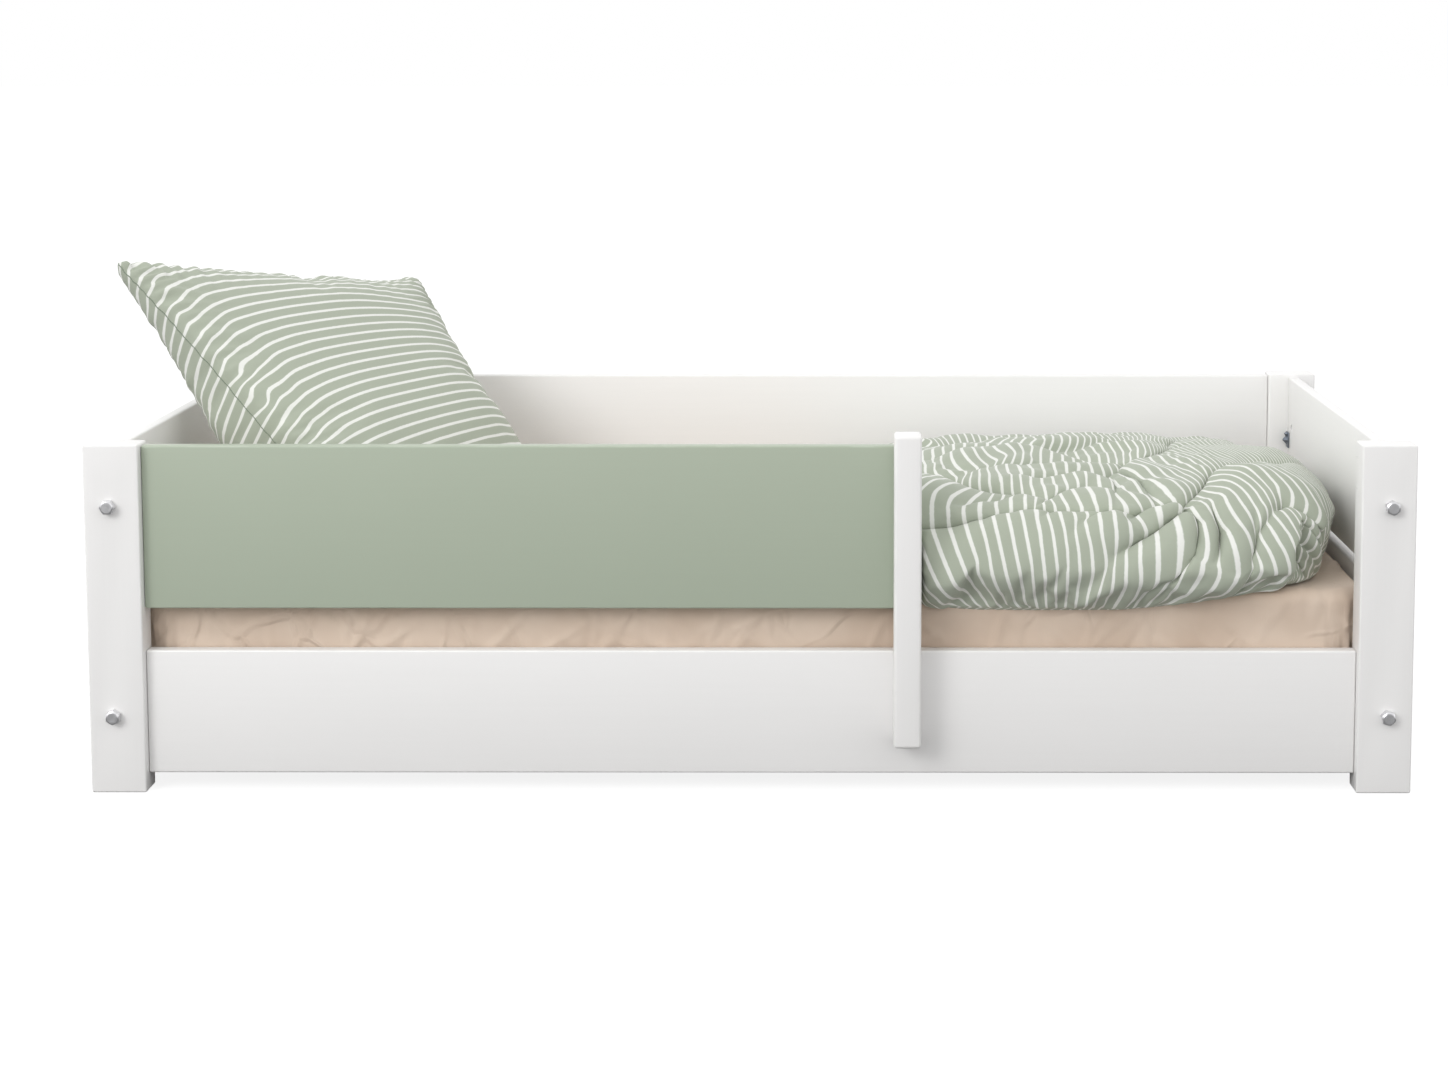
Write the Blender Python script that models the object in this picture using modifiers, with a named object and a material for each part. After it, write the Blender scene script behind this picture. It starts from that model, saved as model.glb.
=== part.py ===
"""Toddler bed with a bolted safety rail, slatted base, mattress, pillow and duvet.

X runs along the bed from the head end (-X) to the foot end (+X), Y across it from the
open front (-Y) to the back, and Z up from the floor. The origin is on the floor, under
the middle of the whole object.
"""

import math

import bmesh
import bpy
from mathutils import Matrix, Vector

# Overall sizes, in metres.
MATTRESS_LENGTH = 1.600
MATTRESS_WIDTH = 0.700
MATTRESS_THICKNESS = 0.110
MATTRESS_CORNER = 0.060
MATTRESS_EDGE = 0.012
MATTRESS_TOP = 0.257
BED_LENGTH = 1.688
BED_DEPTH = 0.775
POST_WIDTH = 0.070
POST_DEPTH = 0.045
POST_HEIGHT = 0.450
GAP = 0.0003
POST_EDGE = 0.003

# How far a cutter runs past a bore's open end, past a face that it starts on, and past
# the tip of what goes in.
CUT_OVER = 0.010
FACE_OVER = 0.001
TIP_OVER = 0.002

# Long boards, front and back.
BOARD_THICKNESS = 0.022
BOARD_SETBACK = 0.014
SIDE_BOARD_Z = (0.0225, 0.1825)
RAIL_THICKNESS = 0.019
RAIL_Z = (0.237, 0.447)
RAIL_SHORT = 0.0025
UPRIGHT_X = (0.182, 0.2165)
UPRIGHT_Z = (0.066, 0.466)
UPRIGHT_PROUD = 0.031
UPRIGHT_EDGE = 0.004
BACK_BOARD_FACE = 0.740
LOWER_BOARD_Z = (0.022, 0.262)
UPPER_BOARD_Z = (0.273, 0.447)

# End boards, at the head and the foot.
END_BOARD_THICKNESS = 0.016
END_BOARD_INNER = 0.8035
END_UPPER_TOP = 0.445

# Fasteners.
END_BOLT_X = 0.8125
END_BOLT_Z = {"upper": 0.371, "lower": 0.100}
BOLT_RADIUS = 0.003
BOLT_LENGTH = 0.095
BOLT_HEAD_HEIGHT = 0.011
BOLT_HEAD_FLATS = 0.0165
BOLT_HEAD_CHAMFER = 0.0015
BARREL_RADIUS = 0.005
BARREL_LENGTH = 0.014
BARREL_INSET = 0.034
BARREL_BORE_LEFT = 0.0008
BARREL_DRILL_REACH = 0.020
BOLT_BORE_OVER = 0.003
SCREW_RADIUS = 0.0025
SCREW_HEAD_RADIUS = 0.0055
SCREW_LENGTH = 0.120
SCREW_TIP = 0.004
SCREW_SUNK = 0.0005
SINK_CLEARANCE = 0.002
SIDE_SCREW_Z = 0.135
RAIL_SCREW_Z = 0.342
UPPER_SCREW_Z = 0.330
UPRIGHT_BOLT_Z = {"rail": 0.342, "board": 0.085}
UPRIGHT_BOLT_LENGTH = 0.034
UPRIGHT_BOLT_OFFSET = 0.006
UPRIGHT_BORE = 0.046
PAN_HEAD_RADIUS = 0.007
PAN_HEAD_HEIGHT = 0.003
PAN_HEAD_SIDE = 0.6
PAN_HEAD_FLAT = 0.7
PAN_BOLT_TIP = 0.001
PILOT_Z = (0.389, 0.429)
PILOT_RADIUS = 0.0015
PILOT_SETBACK = 0.007
PILOT_DEPTH = 0.010

# Corner fittings: a plate with a four-sided wedge on it.
FITTING_Z = 0.350
FITTING_PLATE = (0.018, 0.024, 0.002)
FITTING_WEDGE_RADIUS = 0.0095
FITTING_WEDGE_TIP = 0.0015
FITTING_WEDGE_HEIGHT = 0.008

# Slatted base.
SLAT_COUNT = 12
SLAT_WIDTH = 0.070
SLAT_THICKNESS = 0.014
SLAT_ROW = 1.540
SLAT_LENGTH = 0.698
CLEAT_WIDTH = 0.022
CLEAT_HEIGHT = 0.028
CLEAT_EDGE = 0.0015
SLAT_EDGE = 0.002
STRAP_WIDTH = 0.025
STRAP_THICKNESS = 0.0015
STRAP_INSET = 0.160

# Pillow: the corners of its middle plane, measured from the bed's middle, the front
# faces of the posts and the floor.
PILLOW_TOP_FRONT = Vector((-0.893, 0.340, 0.653))
PILLOW_TOP_BACK = Vector((-0.547, 0.730, 0.600))
PILLOW_LOW_FRONT = Vector((-0.495, 0.120, 0.270))
PILLOW_LOW_BACK = Vector((-0.336, 0.550, 0.270))
PILLOW_HALF_THICKNESS = 0.080
PILLOW_CORNER = 0.86
PILLOW_HEM = 0.004

# Duvet, bunched over the foot half of the mattress.
DUVET_X = (0.100, 0.792)
DUVET_Y = (0.036, 0.700)
DUVET_HEIGHT = 0.146
DUVET_CORNER_DRAW = 0.14
DUVET_SIDE_SWELL = 0.04
DUVET_RIM_SHARE = 0.25

# The posts' front faces stand here, so that the origin is under the object's middle.
FRONT = -(BED_DEPTH + BOLT_HEAD_HEIGHT - UPRIGHT_PROUD) / 2
BACK = FRONT + BED_DEPTH
POST_INNER = BED_LENGTH / 2 - POST_WIDTH
MATTRESS_BOTTOM = MATTRESS_TOP - MATTRESS_THICKNESS
SLAT_TOP = MATTRESS_BOTTOM - GAP
CLEAT_TOP = SLAT_TOP - SLAT_THICKNESS - GAP
WOOD_EDGE = 0.0022

for old in list(bpy.data.objects):
    bpy.data.objects.remove(old, do_unlink=True)

parts = bpy.data.collections.new("toddler_bed")
cutters = bpy.data.collections.new("cutters")
for collection in (parts, cutters):
    bpy.context.scene.collection.children.link(collection)
cutters.hide_render = True

bed = bpy.data.objects.new("bed_origin", None)
parts.objects.link(bed)


def make_material(name, colour, roughness, metallic=0.0):
    material = bpy.data.materials.new(name)
    material.use_nodes = True
    shader = material.node_tree.nodes["Principled BSDF"]
    shader.inputs["Base Color"].default_value = (*colour, 1.0)
    shader.inputs["Roughness"].default_value = roughness
    shader.inputs["Metallic"].default_value = metallic
    material.diffuse_color = (*colour, 1.0)
    return material


WHITE_PAINT = make_material("white_paint", (0.79, 0.78, 0.77), 0.42)
SAGE_PAINT = make_material("sage_paint", (0.39, 0.45, 0.35), 0.45)
PINE = make_material("pine", (0.68, 0.50, 0.31), 0.55)
ZINC = make_material("zinc_steel", (0.42, 0.42, 0.43), 0.35, 1.0)
DARK_STEEL = make_material("dark_steel", (0.10, 0.12, 0.15), 0.40, 1.0)
WEBBING = make_material("webbing", (0.75, 0.73, 0.68), 0.90)
SHEET = make_material("fitted_sheet", (0.55, 0.42, 0.34), 0.90)
BEDDING = make_material("bedding", (0.44, 0.51, 0.40), 0.90)


def new_object(name, mesh, material, location, parent=None):
    """An object in the parts collection, placed in the bed's frame."""
    obj = bpy.data.objects.new(name, mesh)
    parts.objects.link(obj)
    obj.location = location
    obj.parent = parent or bed
    if not mesh.materials:
        mesh.materials.append(material)
    return obj


def mesh_from(shape, name):
    mesh = bpy.data.meshes.new(name)
    shape.to_mesh(mesh)
    shape.free()
    return mesh


def block(name, low, high, material, edge=WOOD_EDGE, segments=2):
    """A square piece between two corners, with its edges rounded."""
    low, high = Vector(low), Vector(high)
    shape = bmesh.new()
    bmesh.ops.create_cube(shape, size=1.0)
    bmesh.ops.scale(shape, vec=high - low, verts=shape.verts)
    obj = new_object(name, mesh_from(shape, name), material, (low + high) / 2)
    if edge:
        rounding = obj.modifiers.new("edges", "BEVEL")
        rounding.width = edge
        rounding.segments = segments
    return obj


def turned(direction):
    """The rotation that takes +Z to a direction."""
    return Vector((0, 0, 1)).rotation_difference(Vector(direction)).to_matrix().to_4x4()


def rod_shape(shape, radius, start, end, segments=12, end_radius=None):
    """Adds a capped cylinder or cone along Z to a bmesh."""
    bmesh.ops.create_cone(
        shape, cap_ends=True, segments=segments, radius1=radius,
        radius2=radius if end_radius is None else end_radius, depth=end - start,
        matrix=Matrix.Translation((0, 0, (start + end) / 2)))


def cut(obj, name, radius, start, direction, depth, segments=12, end_radius=None):
    """Cuts a round bore that starts at a point and runs along a direction."""
    shape = bmesh.new()
    rod_shape(shape, radius, 0, depth, segments, end_radius)
    cutter = bpy.data.objects.new("cut_" + name, mesh_from(shape, "cut_" + name))
    cutters.objects.link(cutter)
    cutter.matrix_world = Matrix.Translation(start) @ turned(direction)
    cutter.hide_render = True
    cutter.display_type = "WIRE"
    bore = obj.modifiers.new("bore_" + name, "BOOLEAN")
    bore.operation = "DIFFERENCE"
    bore.object = cutter


def joined(name, shapes, material):
    """One mesh from several overlapping closed shapes, joined along Z."""
    base = bpy.data.objects.new(name + "_base", mesh_from(shapes[0], name))
    helpers = [base]
    for index, shape in enumerate(shapes[1:]):
        helper = bpy.data.objects.new(f"{name}_{index}", mesh_from(shape, name))
        helpers.append(helper)
        join = base.modifiers.new("join", "BOOLEAN")
        join.operation = "UNION"
        join.object = helper
    for helper in helpers:
        cutters.objects.link(helper)
    bpy.context.view_layer.update()
    graph = bpy.context.evaluated_depsgraph_get()
    mesh = bpy.data.meshes.new_from_object(base.evaluated_get(graph))
    for helper in helpers:
        bpy.data.objects.remove(helper, do_unlink=True)
    mesh.materials.clear()
    mesh.materials.append(material)
    mesh.shade_smooth()
    mesh.set_sharp_from_angle(angle=math.radians(35))
    return mesh


def make_bolt_mesh():
    """A hexagon head bolt along Z: the shank runs down from the origin, under the head."""
    head = bmesh.new()
    corner_radius = BOLT_HEAD_FLATS / math.sqrt(3)
    rod_shape(head, corner_radius, 0, BOLT_HEAD_HEIGHT, segments=6)
    rim = [edge for edge in head.edges
           if all(vert.co.z > BOLT_HEAD_HEIGHT / 2 for vert in edge.verts)]
    bmesh.ops.bevel(head, geom=rim, offset=BOLT_HEAD_CHAMFER, segments=2, affect="EDGES")
    shank = bmesh.new()
    rod_shape(shank, BOLT_RADIUS, -BOLT_LENGTH, BOLT_HEAD_HEIGHT / 2)
    return joined("hex_bolt", [head, shank], ZINC)


def make_barrel_mesh():
    """A barrel nut along X, cross-drilled along Y for the bolt, a little off its middle."""
    shape = bmesh.new()
    rod_shape(shape, BARREL_RADIUS, -BARREL_LENGTH / 2, BARREL_LENGTH / 2, segments=16)
    barrel = bpy.data.objects.new("barrel", mesh_from(shape, "barrel_nut"))
    drill_shape = bmesh.new()
    rod_shape(drill_shape, BOLT_RADIUS + GAP, -BARREL_DRILL_REACH, BARREL_DRILL_REACH)
    drill = bpy.data.objects.new("drill", mesh_from(drill_shape, "drill"))
    barrel.matrix_world = turned((1, 0, 0))
    off_middle = END_BOLT_X - END_BOARD_INNER - END_BOARD_THICKNESS / 2
    drill.matrix_world = Matrix.Translation((off_middle, 0, 0)) @ turned((0, 1, 0))
    for helper in (barrel, drill):
        cutters.objects.link(helper)
    bore = barrel.modifiers.new("bore", "BOOLEAN")
    bore.object = drill
    bpy.context.view_layer.update()
    graph = bpy.context.evaluated_depsgraph_get()
    mesh = bpy.data.meshes.new_from_object(barrel.evaluated_get(graph))
    mesh.transform(barrel.matrix_world)
    for helper in (barrel, drill):
        bpy.data.objects.remove(helper, do_unlink=True)
    mesh.materials.clear()
    mesh.materials.append(ZINC)
    return mesh


def make_screw_mesh():
    """A countersunk screw along Z, its flat head at the origin and its tip below."""
    profile = bmesh.new()
    neck = SCREW_HEAD_RADIUS - SCREW_RADIUS
    points = [(0, -SCREW_LENGTH), (SCREW_RADIUS, -SCREW_LENGTH + SCREW_TIP),
              (SCREW_RADIUS, -neck), (SCREW_HEAD_RADIUS, 0), (0, 0)]
    verts = [profile.verts.new((x, 0, z)) for x, z in reversed(points)]
    for first, second in zip(verts, verts[1:]):
        profile.edges.new((first, second))
    return spun(profile, "side_screw")


def make_pan_bolt_mesh():
    """A low pan head bolt along Z, its head above the origin and its shank below."""
    profile = bmesh.new()
    length = UPRIGHT_BOLT_LENGTH
    points = [(0, -length), (BOLT_RADIUS, PAN_BOLT_TIP - length), (BOLT_RADIUS, 0),
              (PAN_HEAD_RADIUS, 0),
              (PAN_HEAD_RADIUS, PAN_HEAD_HEIGHT * PAN_HEAD_SIDE),
              (PAN_HEAD_RADIUS * PAN_HEAD_FLAT, PAN_HEAD_HEIGHT), (0, PAN_HEAD_HEIGHT)]
    verts = [profile.verts.new((x, 0, z)) for x, z in reversed(points)]
    for first, second in zip(verts, verts[1:]):
        profile.edges.new((first, second))
    return spun(profile, "pan_bolt")


def spun(profile, name):
    """The closed mesh of a profile turned about Z."""
    helper = bpy.data.objects.new(name, mesh_from(profile, name))
    cutters.objects.link(helper)
    turn = helper.modifiers.new("turn", "SCREW")
    turn.steps = turn.render_steps = 16
    turn.use_merge_vertices = True
    turn.merge_threshold = 0.00001
    bpy.context.view_layer.update()
    graph = bpy.context.evaluated_depsgraph_get()
    mesh = bpy.data.meshes.new_from_object(helper.evaluated_get(graph))
    bpy.data.objects.remove(helper, do_unlink=True)
    mesh.materials.clear()
    mesh.materials.append(ZINC)
    mesh.shade_smooth()
    mesh.set_sharp_from_angle(angle=math.radians(35))
    return mesh


def fastener(name, mesh, point, direction):
    """A fastener whose head faces a direction, at a point under its head."""
    obj = new_object(name, mesh, ZINC, point)
    obj.rotation_euler = turned(direction).to_euler()


def make_posts():
    """The four posts, each bored for two end bolts and for the side screws."""
    posts = {}
    for end, side in (("left", -1), ("right", 1)):
        for row in ("front", "back"):
            near = FRONT if row == "front" else BACK - POST_DEPTH
            x = sorted((side * POST_INNER, side * BED_LENGTH / 2))
            name = f"post_{row}_{end}"
            post = block(name, (x[0], near, 0), (x[1], near + POST_DEPTH, POST_HEIGHT),
                         WHITE_PAINT, edge=POST_EDGE)
            for level, height in END_BOLT_Z.items():
                cut(post, f"{name}_{level}", BOLT_RADIUS + GAP,
                    (side * END_BOLT_X, near - CUT_OVER, height), (0, 1, 0),
                    POST_DEPTH + 2 * CUT_OVER)
            posts[row, end] = post
    for height in PILOT_Z:
        cut(posts["front", "right"], f"pilot_{int(height * 1000)}", PILOT_RADIUS,
            (POST_INNER - FACE_OVER, FRONT + POST_DEPTH - PILOT_SETBACK, height), (1, 0, 0),
            PILOT_DEPTH + FACE_OVER, 8)
    return posts


def make_long_boards():
    """The front board, safety rail and back boards, which run between the posts."""
    rear = BACK_BOARD_FACE
    face = BOARD_SETBACK
    inner = POST_INNER - GAP
    sizes = {
        "side_board_front": (-inner, inner, face, BOARD_THICKNESS, SIDE_BOARD_Z),
        "safety_rail": (-inner, UPRIGHT_X[1] - RAIL_SHORT, face, RAIL_THICKNESS, RAIL_Z),
        "back_board_lower": (-inner, inner, rear, BOARD_THICKNESS, LOWER_BOARD_Z),
        "back_board_upper": (-inner, inner, rear, BOARD_THICKNESS, UPPER_BOARD_Z),
    }
    boards = {}
    for name, (left, right, near, thickness, (bottom, top)) in sizes.items():
        paint = SAGE_PAINT if name == "safety_rail" else WHITE_PAINT
        boards[name] = block(name, (left, FRONT + near, bottom),
                             (right, FRONT + near + thickness, top), paint)
    return boards


def make_end_boards():
    """Two boards at each end, set half way in the width of the posts."""
    near = FRONT + POST_DEPTH + GAP
    far = BACK - POST_DEPTH - GAP
    barrel_mesh = make_barrel_mesh()
    bolt_mesh = make_bolt_mesh()
    heights = {"lower": LOWER_BOARD_Z, "upper": (UPPER_BOARD_Z[0], END_UPPER_TOP)}
    for end, side in (("head", -1), ("foot", 1)):
        x = sorted((side * END_BOARD_INNER, side * (END_BOARD_INNER + END_BOARD_THICKNESS)))
        for level, (bottom, top) in heights.items():
            name = f"{end}_board_{level}"
            board = block(name, (x[0], near, bottom), (x[1], far, top), WHITE_PAINT)
            height = END_BOLT_Z[level]
            for row, start, inward in (("front", FRONT, 1), ("back", BACK, -1)):
                tag = f"{name}_{row}"
                depth = POST_DEPTH + BARREL_INSET
                cut(board, tag, BOLT_RADIUS + GAP,
                    (side * END_BOLT_X, start, height), (0, inward, 0),
                    BOLT_LENGTH + BOLT_BORE_OVER)
                nut_y = start + inward * depth
                cut(board, "nut_" + tag, BARREL_RADIUS + GAP,
                    (side * (END_BOARD_INNER - TIP_OVER), nut_y, height), (side, 0, 0),
                    END_BOARD_THICKNESS + TIP_OVER - BARREL_BORE_LEFT, 16)
                nut = new_object(f"barrel_nut_{end}_{row}_{level}", barrel_mesh, ZINC,
                                 (side * (END_BOARD_INNER + END_BOARD_THICKNESS / 2),
                                  nut_y, height))
                nut.rotation_euler.z = math.pi if side < 0 else 0.0
                fastener(f"end_bolt_{end}_{row}_{level}", bolt_mesh,
                         (side * END_BOLT_X, start - inward * GAP, height), (0, -inward, 0))


def make_side_screws(posts, boards):
    """Countersunk screws through the posts' outer faces into the ends of the long boards."""
    mesh = make_screw_mesh()
    middle = FRONT + BOARD_SETBACK + BOARD_THICKNESS / 2
    rail_middle = FRONT + BOARD_SETBACK + RAIL_THICKNESS / 2
    back_middle = FRONT + BACK_BOARD_FACE + BOARD_THICKNESS / 2
    places = [("front", "left", "side_board_front", middle, SIDE_SCREW_Z),
              ("front", "right", "side_board_front", middle, SIDE_SCREW_Z),
              ("front", "left", "safety_rail", rail_middle, RAIL_SCREW_Z),
              ("back", "left", "back_board_lower", back_middle, SIDE_SCREW_Z),
              ("back", "right", "back_board_lower", back_middle, SIDE_SCREW_Z),
              ("back", "left", "back_board_upper", back_middle, UPPER_SCREW_Z),
              ("back", "right", "back_board_upper", back_middle, UPPER_SCREW_Z)]
    bore_radius = SCREW_RADIUS + GAP
    sink_radius = SCREW_HEAD_RADIUS + SINK_CLEARANCE
    for row, end, board, y, z in places:
        side = -1 if end == "left" else 1
        outer = side * BED_LENGTH / 2
        name = f"side_screw_{board}_{end}"
        head = Vector((outer, y, z))
        inward = Vector((-side, 0, 0))
        for obj in (posts[row, end], boards[board]):
            cut(obj, f"{name}_{obj.name}", bore_radius, head, inward,
                SCREW_LENGTH + TIP_OVER)
        cut(posts[row, end], "sink_" + name, sink_radius, head - inward * FACE_OVER,
            inward, sink_radius - bore_radius, end_radius=bore_radius)
        fastener(name, mesh, head + inward * SCREW_SUNK, -inward)


def make_upright(boards):
    """The upright that holds the free end of the safety rail, and its two bolts."""
    face = FRONT + BOARD_SETBACK - GAP
    upright = block("rail_upright", (UPRIGHT_X[0], FRONT - UPRIGHT_PROUD, UPRIGHT_Z[0]),
                    (UPRIGHT_X[1], face, UPRIGHT_Z[1]), WHITE_PAINT,
                    edge=UPRIGHT_EDGE, segments=3)
    mesh = make_pan_bolt_mesh()
    middle = sum(UPRIGHT_X) / 2 - UPRIGHT_BOLT_OFFSET
    holders = {"rail": ("safety_rail", RAIL_THICKNESS),
               "board": ("side_board_front", BOARD_THICKNESS)}
    for level, (board, thickness) in holders.items():
        height = UPRIGHT_BOLT_Z[level]
        rear = Vector((middle, FRONT + BOARD_SETBACK + thickness, height))
        for obj in (upright, boards[board]):
            cut(obj, f"upright_{level}_{obj.name}", BOLT_RADIUS + GAP,
                rear + Vector((0, CUT_OVER, 0)), (0, -1, 0), UPRIGHT_BORE)
        fastener(f"upright_bolt_{level}", mesh, rear + Vector((0, GAP, 0)), (0, 1, 0))


def make_corner_fittings():
    """A small steel fitting in each back corner, with a wedge that points inwards."""
    depth, _, thickness = FITTING_PLATE
    for end, side in (("left", -1), ("right", 1)):
        plate = bmesh.new()
        bmesh.ops.create_cube(plate, size=1.0)
        bmesh.ops.scale(plate, vec=FITTING_PLATE, verts=plate.verts)
        wedge = bmesh.new()
        rod_shape(wedge, FITTING_WEDGE_RADIUS, 0, FITTING_WEDGE_HEIGHT, 4, FITTING_WEDGE_TIP)
        mesh = joined(f"corner_fitting_{end}", [plate, wedge], DARK_STEEL)
        obj = new_object(f"corner_fitting_{end}", mesh, DARK_STEEL,
                         (side * (END_BOARD_INNER - thickness / 2 - GAP),
                          BACK - POST_DEPTH - depth / 2 - GAP, FITTING_Z))
        obj.rotation_euler = (math.pi / 2, 0, -side * math.pi / 2)


def make_base():
    """Cleats on the long boards, the loose slats on them, and the straps under the slats."""
    front_inner = FRONT + BOARD_SETBACK + BOARD_THICKNESS + GAP
    back_inner = FRONT + BACK_BOARD_FACE - GAP
    reach = SLAT_ROW / 2
    rows = {"front": (front_inner, front_inner + CLEAT_WIDTH),
            "back": (back_inner - CLEAT_WIDTH, back_inner)}
    for row, (near, far) in rows.items():
        block(f"slat_cleat_{row}", (-reach, near, CLEAT_TOP - CLEAT_HEIGHT),
              (reach, far, CLEAT_TOP), PINE, edge=CLEAT_EDGE, segments=1)
    middle = (front_inner + back_inner) / 2
    pitch = (SLAT_ROW - SLAT_WIDTH) / (SLAT_COUNT - 1)
    for index in range(SLAT_COUNT):
        left = -reach + index * pitch
        block(f"slat_{index + 1:02d}",
              (left, middle - SLAT_LENGTH / 2, SLAT_TOP - SLAT_THICKNESS),
              (left + SLAT_WIDTH, middle + SLAT_LENGTH / 2, SLAT_TOP), PINE,
              edge=SLAT_EDGE, segments=1)
    under = SLAT_TOP - SLAT_THICKNESS - GAP
    for row, y in (("front", front_inner + STRAP_INSET), ("back", back_inner - STRAP_INSET)):
        block(f"slat_strap_{row}", (-reach, y - STRAP_WIDTH / 2, under - STRAP_THICKNESS),
              (reach, y + STRAP_WIDTH / 2, under), WEBBING, edge=0)


def make_mattress(parent):
    middle = FRONT + (BOARD_SETBACK + BOARD_THICKNESS + BACK_BOARD_FACE) / 2
    shape = bmesh.new()
    bmesh.ops.create_cube(shape, size=1.0)
    bmesh.ops.scale(shape, vec=(MATTRESS_LENGTH, MATTRESS_WIDTH, MATTRESS_THICKNESS),
                    verts=shape.verts)
    upright_edges = [edge for edge in shape.edges
                     if abs(edge.verts[0].co.z - edge.verts[1].co.z) > 0.01]
    bmesh.ops.bevel(shape, geom=upright_edges, offset=MATTRESS_CORNER, segments=6,
                    profile=0.5, affect="EDGES")
    obj = new_object("mattress", mesh_from(shape, "mattress"), SHEET,
                     (0, middle, MATTRESS_BOTTOM + MATTRESS_THICKNESS / 2), parent)
    rounding = obj.modifiers.new("edges", "BEVEL")
    rounding.width = MATTRESS_EDGE
    rounding.segments = 2
    rounding.limit_method = "ANGLE"
    rounding.angle_limit = math.radians(60)


def soft_cage(cuts):
    """A cube from -1 to 1 each way, divided into a grid on every side."""
    shape = bmesh.new()
    bmesh.ops.create_cube(shape, size=2.0)
    bmesh.ops.subdivide_edges(shape, edges=shape.edges[:], cuts=cuts, use_grid_fill=True)
    return shape


def fullness(u, v, power=4):
    """How thick a stuffed form is at a place from -1 to 1 along and across it."""
    return math.sqrt(max(0.0, (1 - abs(u) ** power) * (1 - abs(v) ** power)))


def make_pillow(parent):
    """A stuffed form that stands on one edge and leans back over the corner."""
    corners = (PILLOW_TOP_FRONT, PILLOW_TOP_BACK, PILLOW_LOW_FRONT, PILLOW_LOW_BACK)
    middle = sum(corners, Vector()) / 4
    along = (corners[1] - corners[0] + corners[3] - corners[2]) / 4
    down = (corners[2] - corners[0] + corners[3] - corners[1]) / 4
    twist = (corners[0] - corners[1] - corners[2] + corners[3]) / 4
    out = along.cross(down).normalized()
    axes = Matrix((along.normalized(), out.cross(along).normalized(), out)).transposed()
    shape = soft_cage(6)
    for vert in shape.verts:
        u, v, w = vert.co
        thick = PILLOW_HEM + (PILLOW_HALF_THICKNESS - PILLOW_HEM) * fullness(u, v)
        draw = 1 - (1 - PILLOW_CORNER) * u * u * v * v
        place = (u * along + v * down + u * v * twist) * draw + out * w * thick
        vert.co = axes.transposed() @ place
    mesh = mesh_from(shape, "pillow")
    mesh.shade_smooth()
    obj = new_object("pillow", mesh, BEDDING, middle + Vector((0, FRONT, 0)), parent)
    obj.rotation_euler = axes.to_euler()


def make_duvet(parent):
    """A low heap with a flat underside that rests on the mattress."""
    low = Vector((DUVET_X[0], FRONT + DUVET_Y[0], MATTRESS_TOP + GAP))
    high = Vector((DUVET_X[1], FRONT + DUVET_Y[1], MATTRESS_TOP + DUVET_HEIGHT))
    size = high - low
    shape = soft_cage(6)
    for vert in shape.verts:
        u, v, w = vert.co
        reach = 1 - DUVET_CORNER_DRAW * u * u * v * v
        full = DUVET_RIM_SHARE + (1 - DUVET_RIM_SHARE) * fullness(u, v, 3)
        rise = full * (w + 1) / 2
        swell = 1 - DUVET_SIDE_SWELL * w * w
        vert.co = (u * reach * swell * size.x / 2, v * reach * swell * size.y / 2,
                   rise * size.z)
    mesh = mesh_from(shape, "duvet")
    mesh.shade_smooth()
    new_object("duvet", mesh, BEDDING, ((low.x + high.x) / 2, (low.y + high.y) / 2, low.z),
               parent)


post_set = make_posts()
board_set = make_long_boards()
make_end_boards()
make_side_screws(post_set, board_set)
make_upright(board_set)
make_corner_fittings()
make_base()

lift_mattress = bpy.data.objects.new("lift_mattress", None)
lift_pillow = bpy.data.objects.new("lift_pillow", None)
lift_duvet = bpy.data.objects.new("lift_duvet", None)
for lift, holder in ((lift_mattress, bed), (lift_pillow, lift_mattress),
                     (lift_duvet, lift_mattress)):
    parts.objects.link(lift)
    lift.parent = holder
make_mattress(lift_mattress)
make_pillow(lift_pillow)
make_duvet(lift_duvet)
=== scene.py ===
# Toddler bed: painted boards, steel fasteners, slatted base and simulated bedding, built
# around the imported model. Lengths are in metres, +Z is up and the open front faces -Y.
import math
import random

import bmesh
import bpy
import numpy as np
from mathutils import Matrix, Vector, noise


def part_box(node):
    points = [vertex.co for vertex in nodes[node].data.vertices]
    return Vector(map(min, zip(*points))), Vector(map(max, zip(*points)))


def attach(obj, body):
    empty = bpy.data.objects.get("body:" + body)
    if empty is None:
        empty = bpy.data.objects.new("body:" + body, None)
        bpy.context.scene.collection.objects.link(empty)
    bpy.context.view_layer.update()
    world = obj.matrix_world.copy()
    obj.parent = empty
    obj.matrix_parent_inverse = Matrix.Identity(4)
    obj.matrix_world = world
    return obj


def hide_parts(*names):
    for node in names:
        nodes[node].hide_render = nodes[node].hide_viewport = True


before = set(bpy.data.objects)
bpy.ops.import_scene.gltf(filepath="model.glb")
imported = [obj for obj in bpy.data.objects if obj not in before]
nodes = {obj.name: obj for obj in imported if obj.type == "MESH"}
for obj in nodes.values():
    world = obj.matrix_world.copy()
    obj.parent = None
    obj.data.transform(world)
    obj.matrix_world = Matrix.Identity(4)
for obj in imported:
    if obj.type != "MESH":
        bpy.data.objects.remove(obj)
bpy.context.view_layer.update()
scene = bpy.context.scene
print("frame loaded:", len(nodes), "nodes")


# small helpers

def srgb(red, green, blue):
    def channel(value):
        value /= 255
        return value / 12.92 if value <= 0.04045 else ((value + 0.055) / 1.055) ** 2.4
    return (channel(red), channel(green), channel(blue), 1.0)


def addObject(name, mesh, material=None):
    obj = bpy.data.objects.new(name, mesh)
    scene.collection.objects.link(obj)
    if material:
        mesh.materials.clear()
        mesh.materials.append(material)
    return obj


def meshFrom(shape, name):
    mesh = bpy.data.meshes.new(name)
    shape.to_mesh(mesh)
    shape.free()
    return mesh


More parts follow.
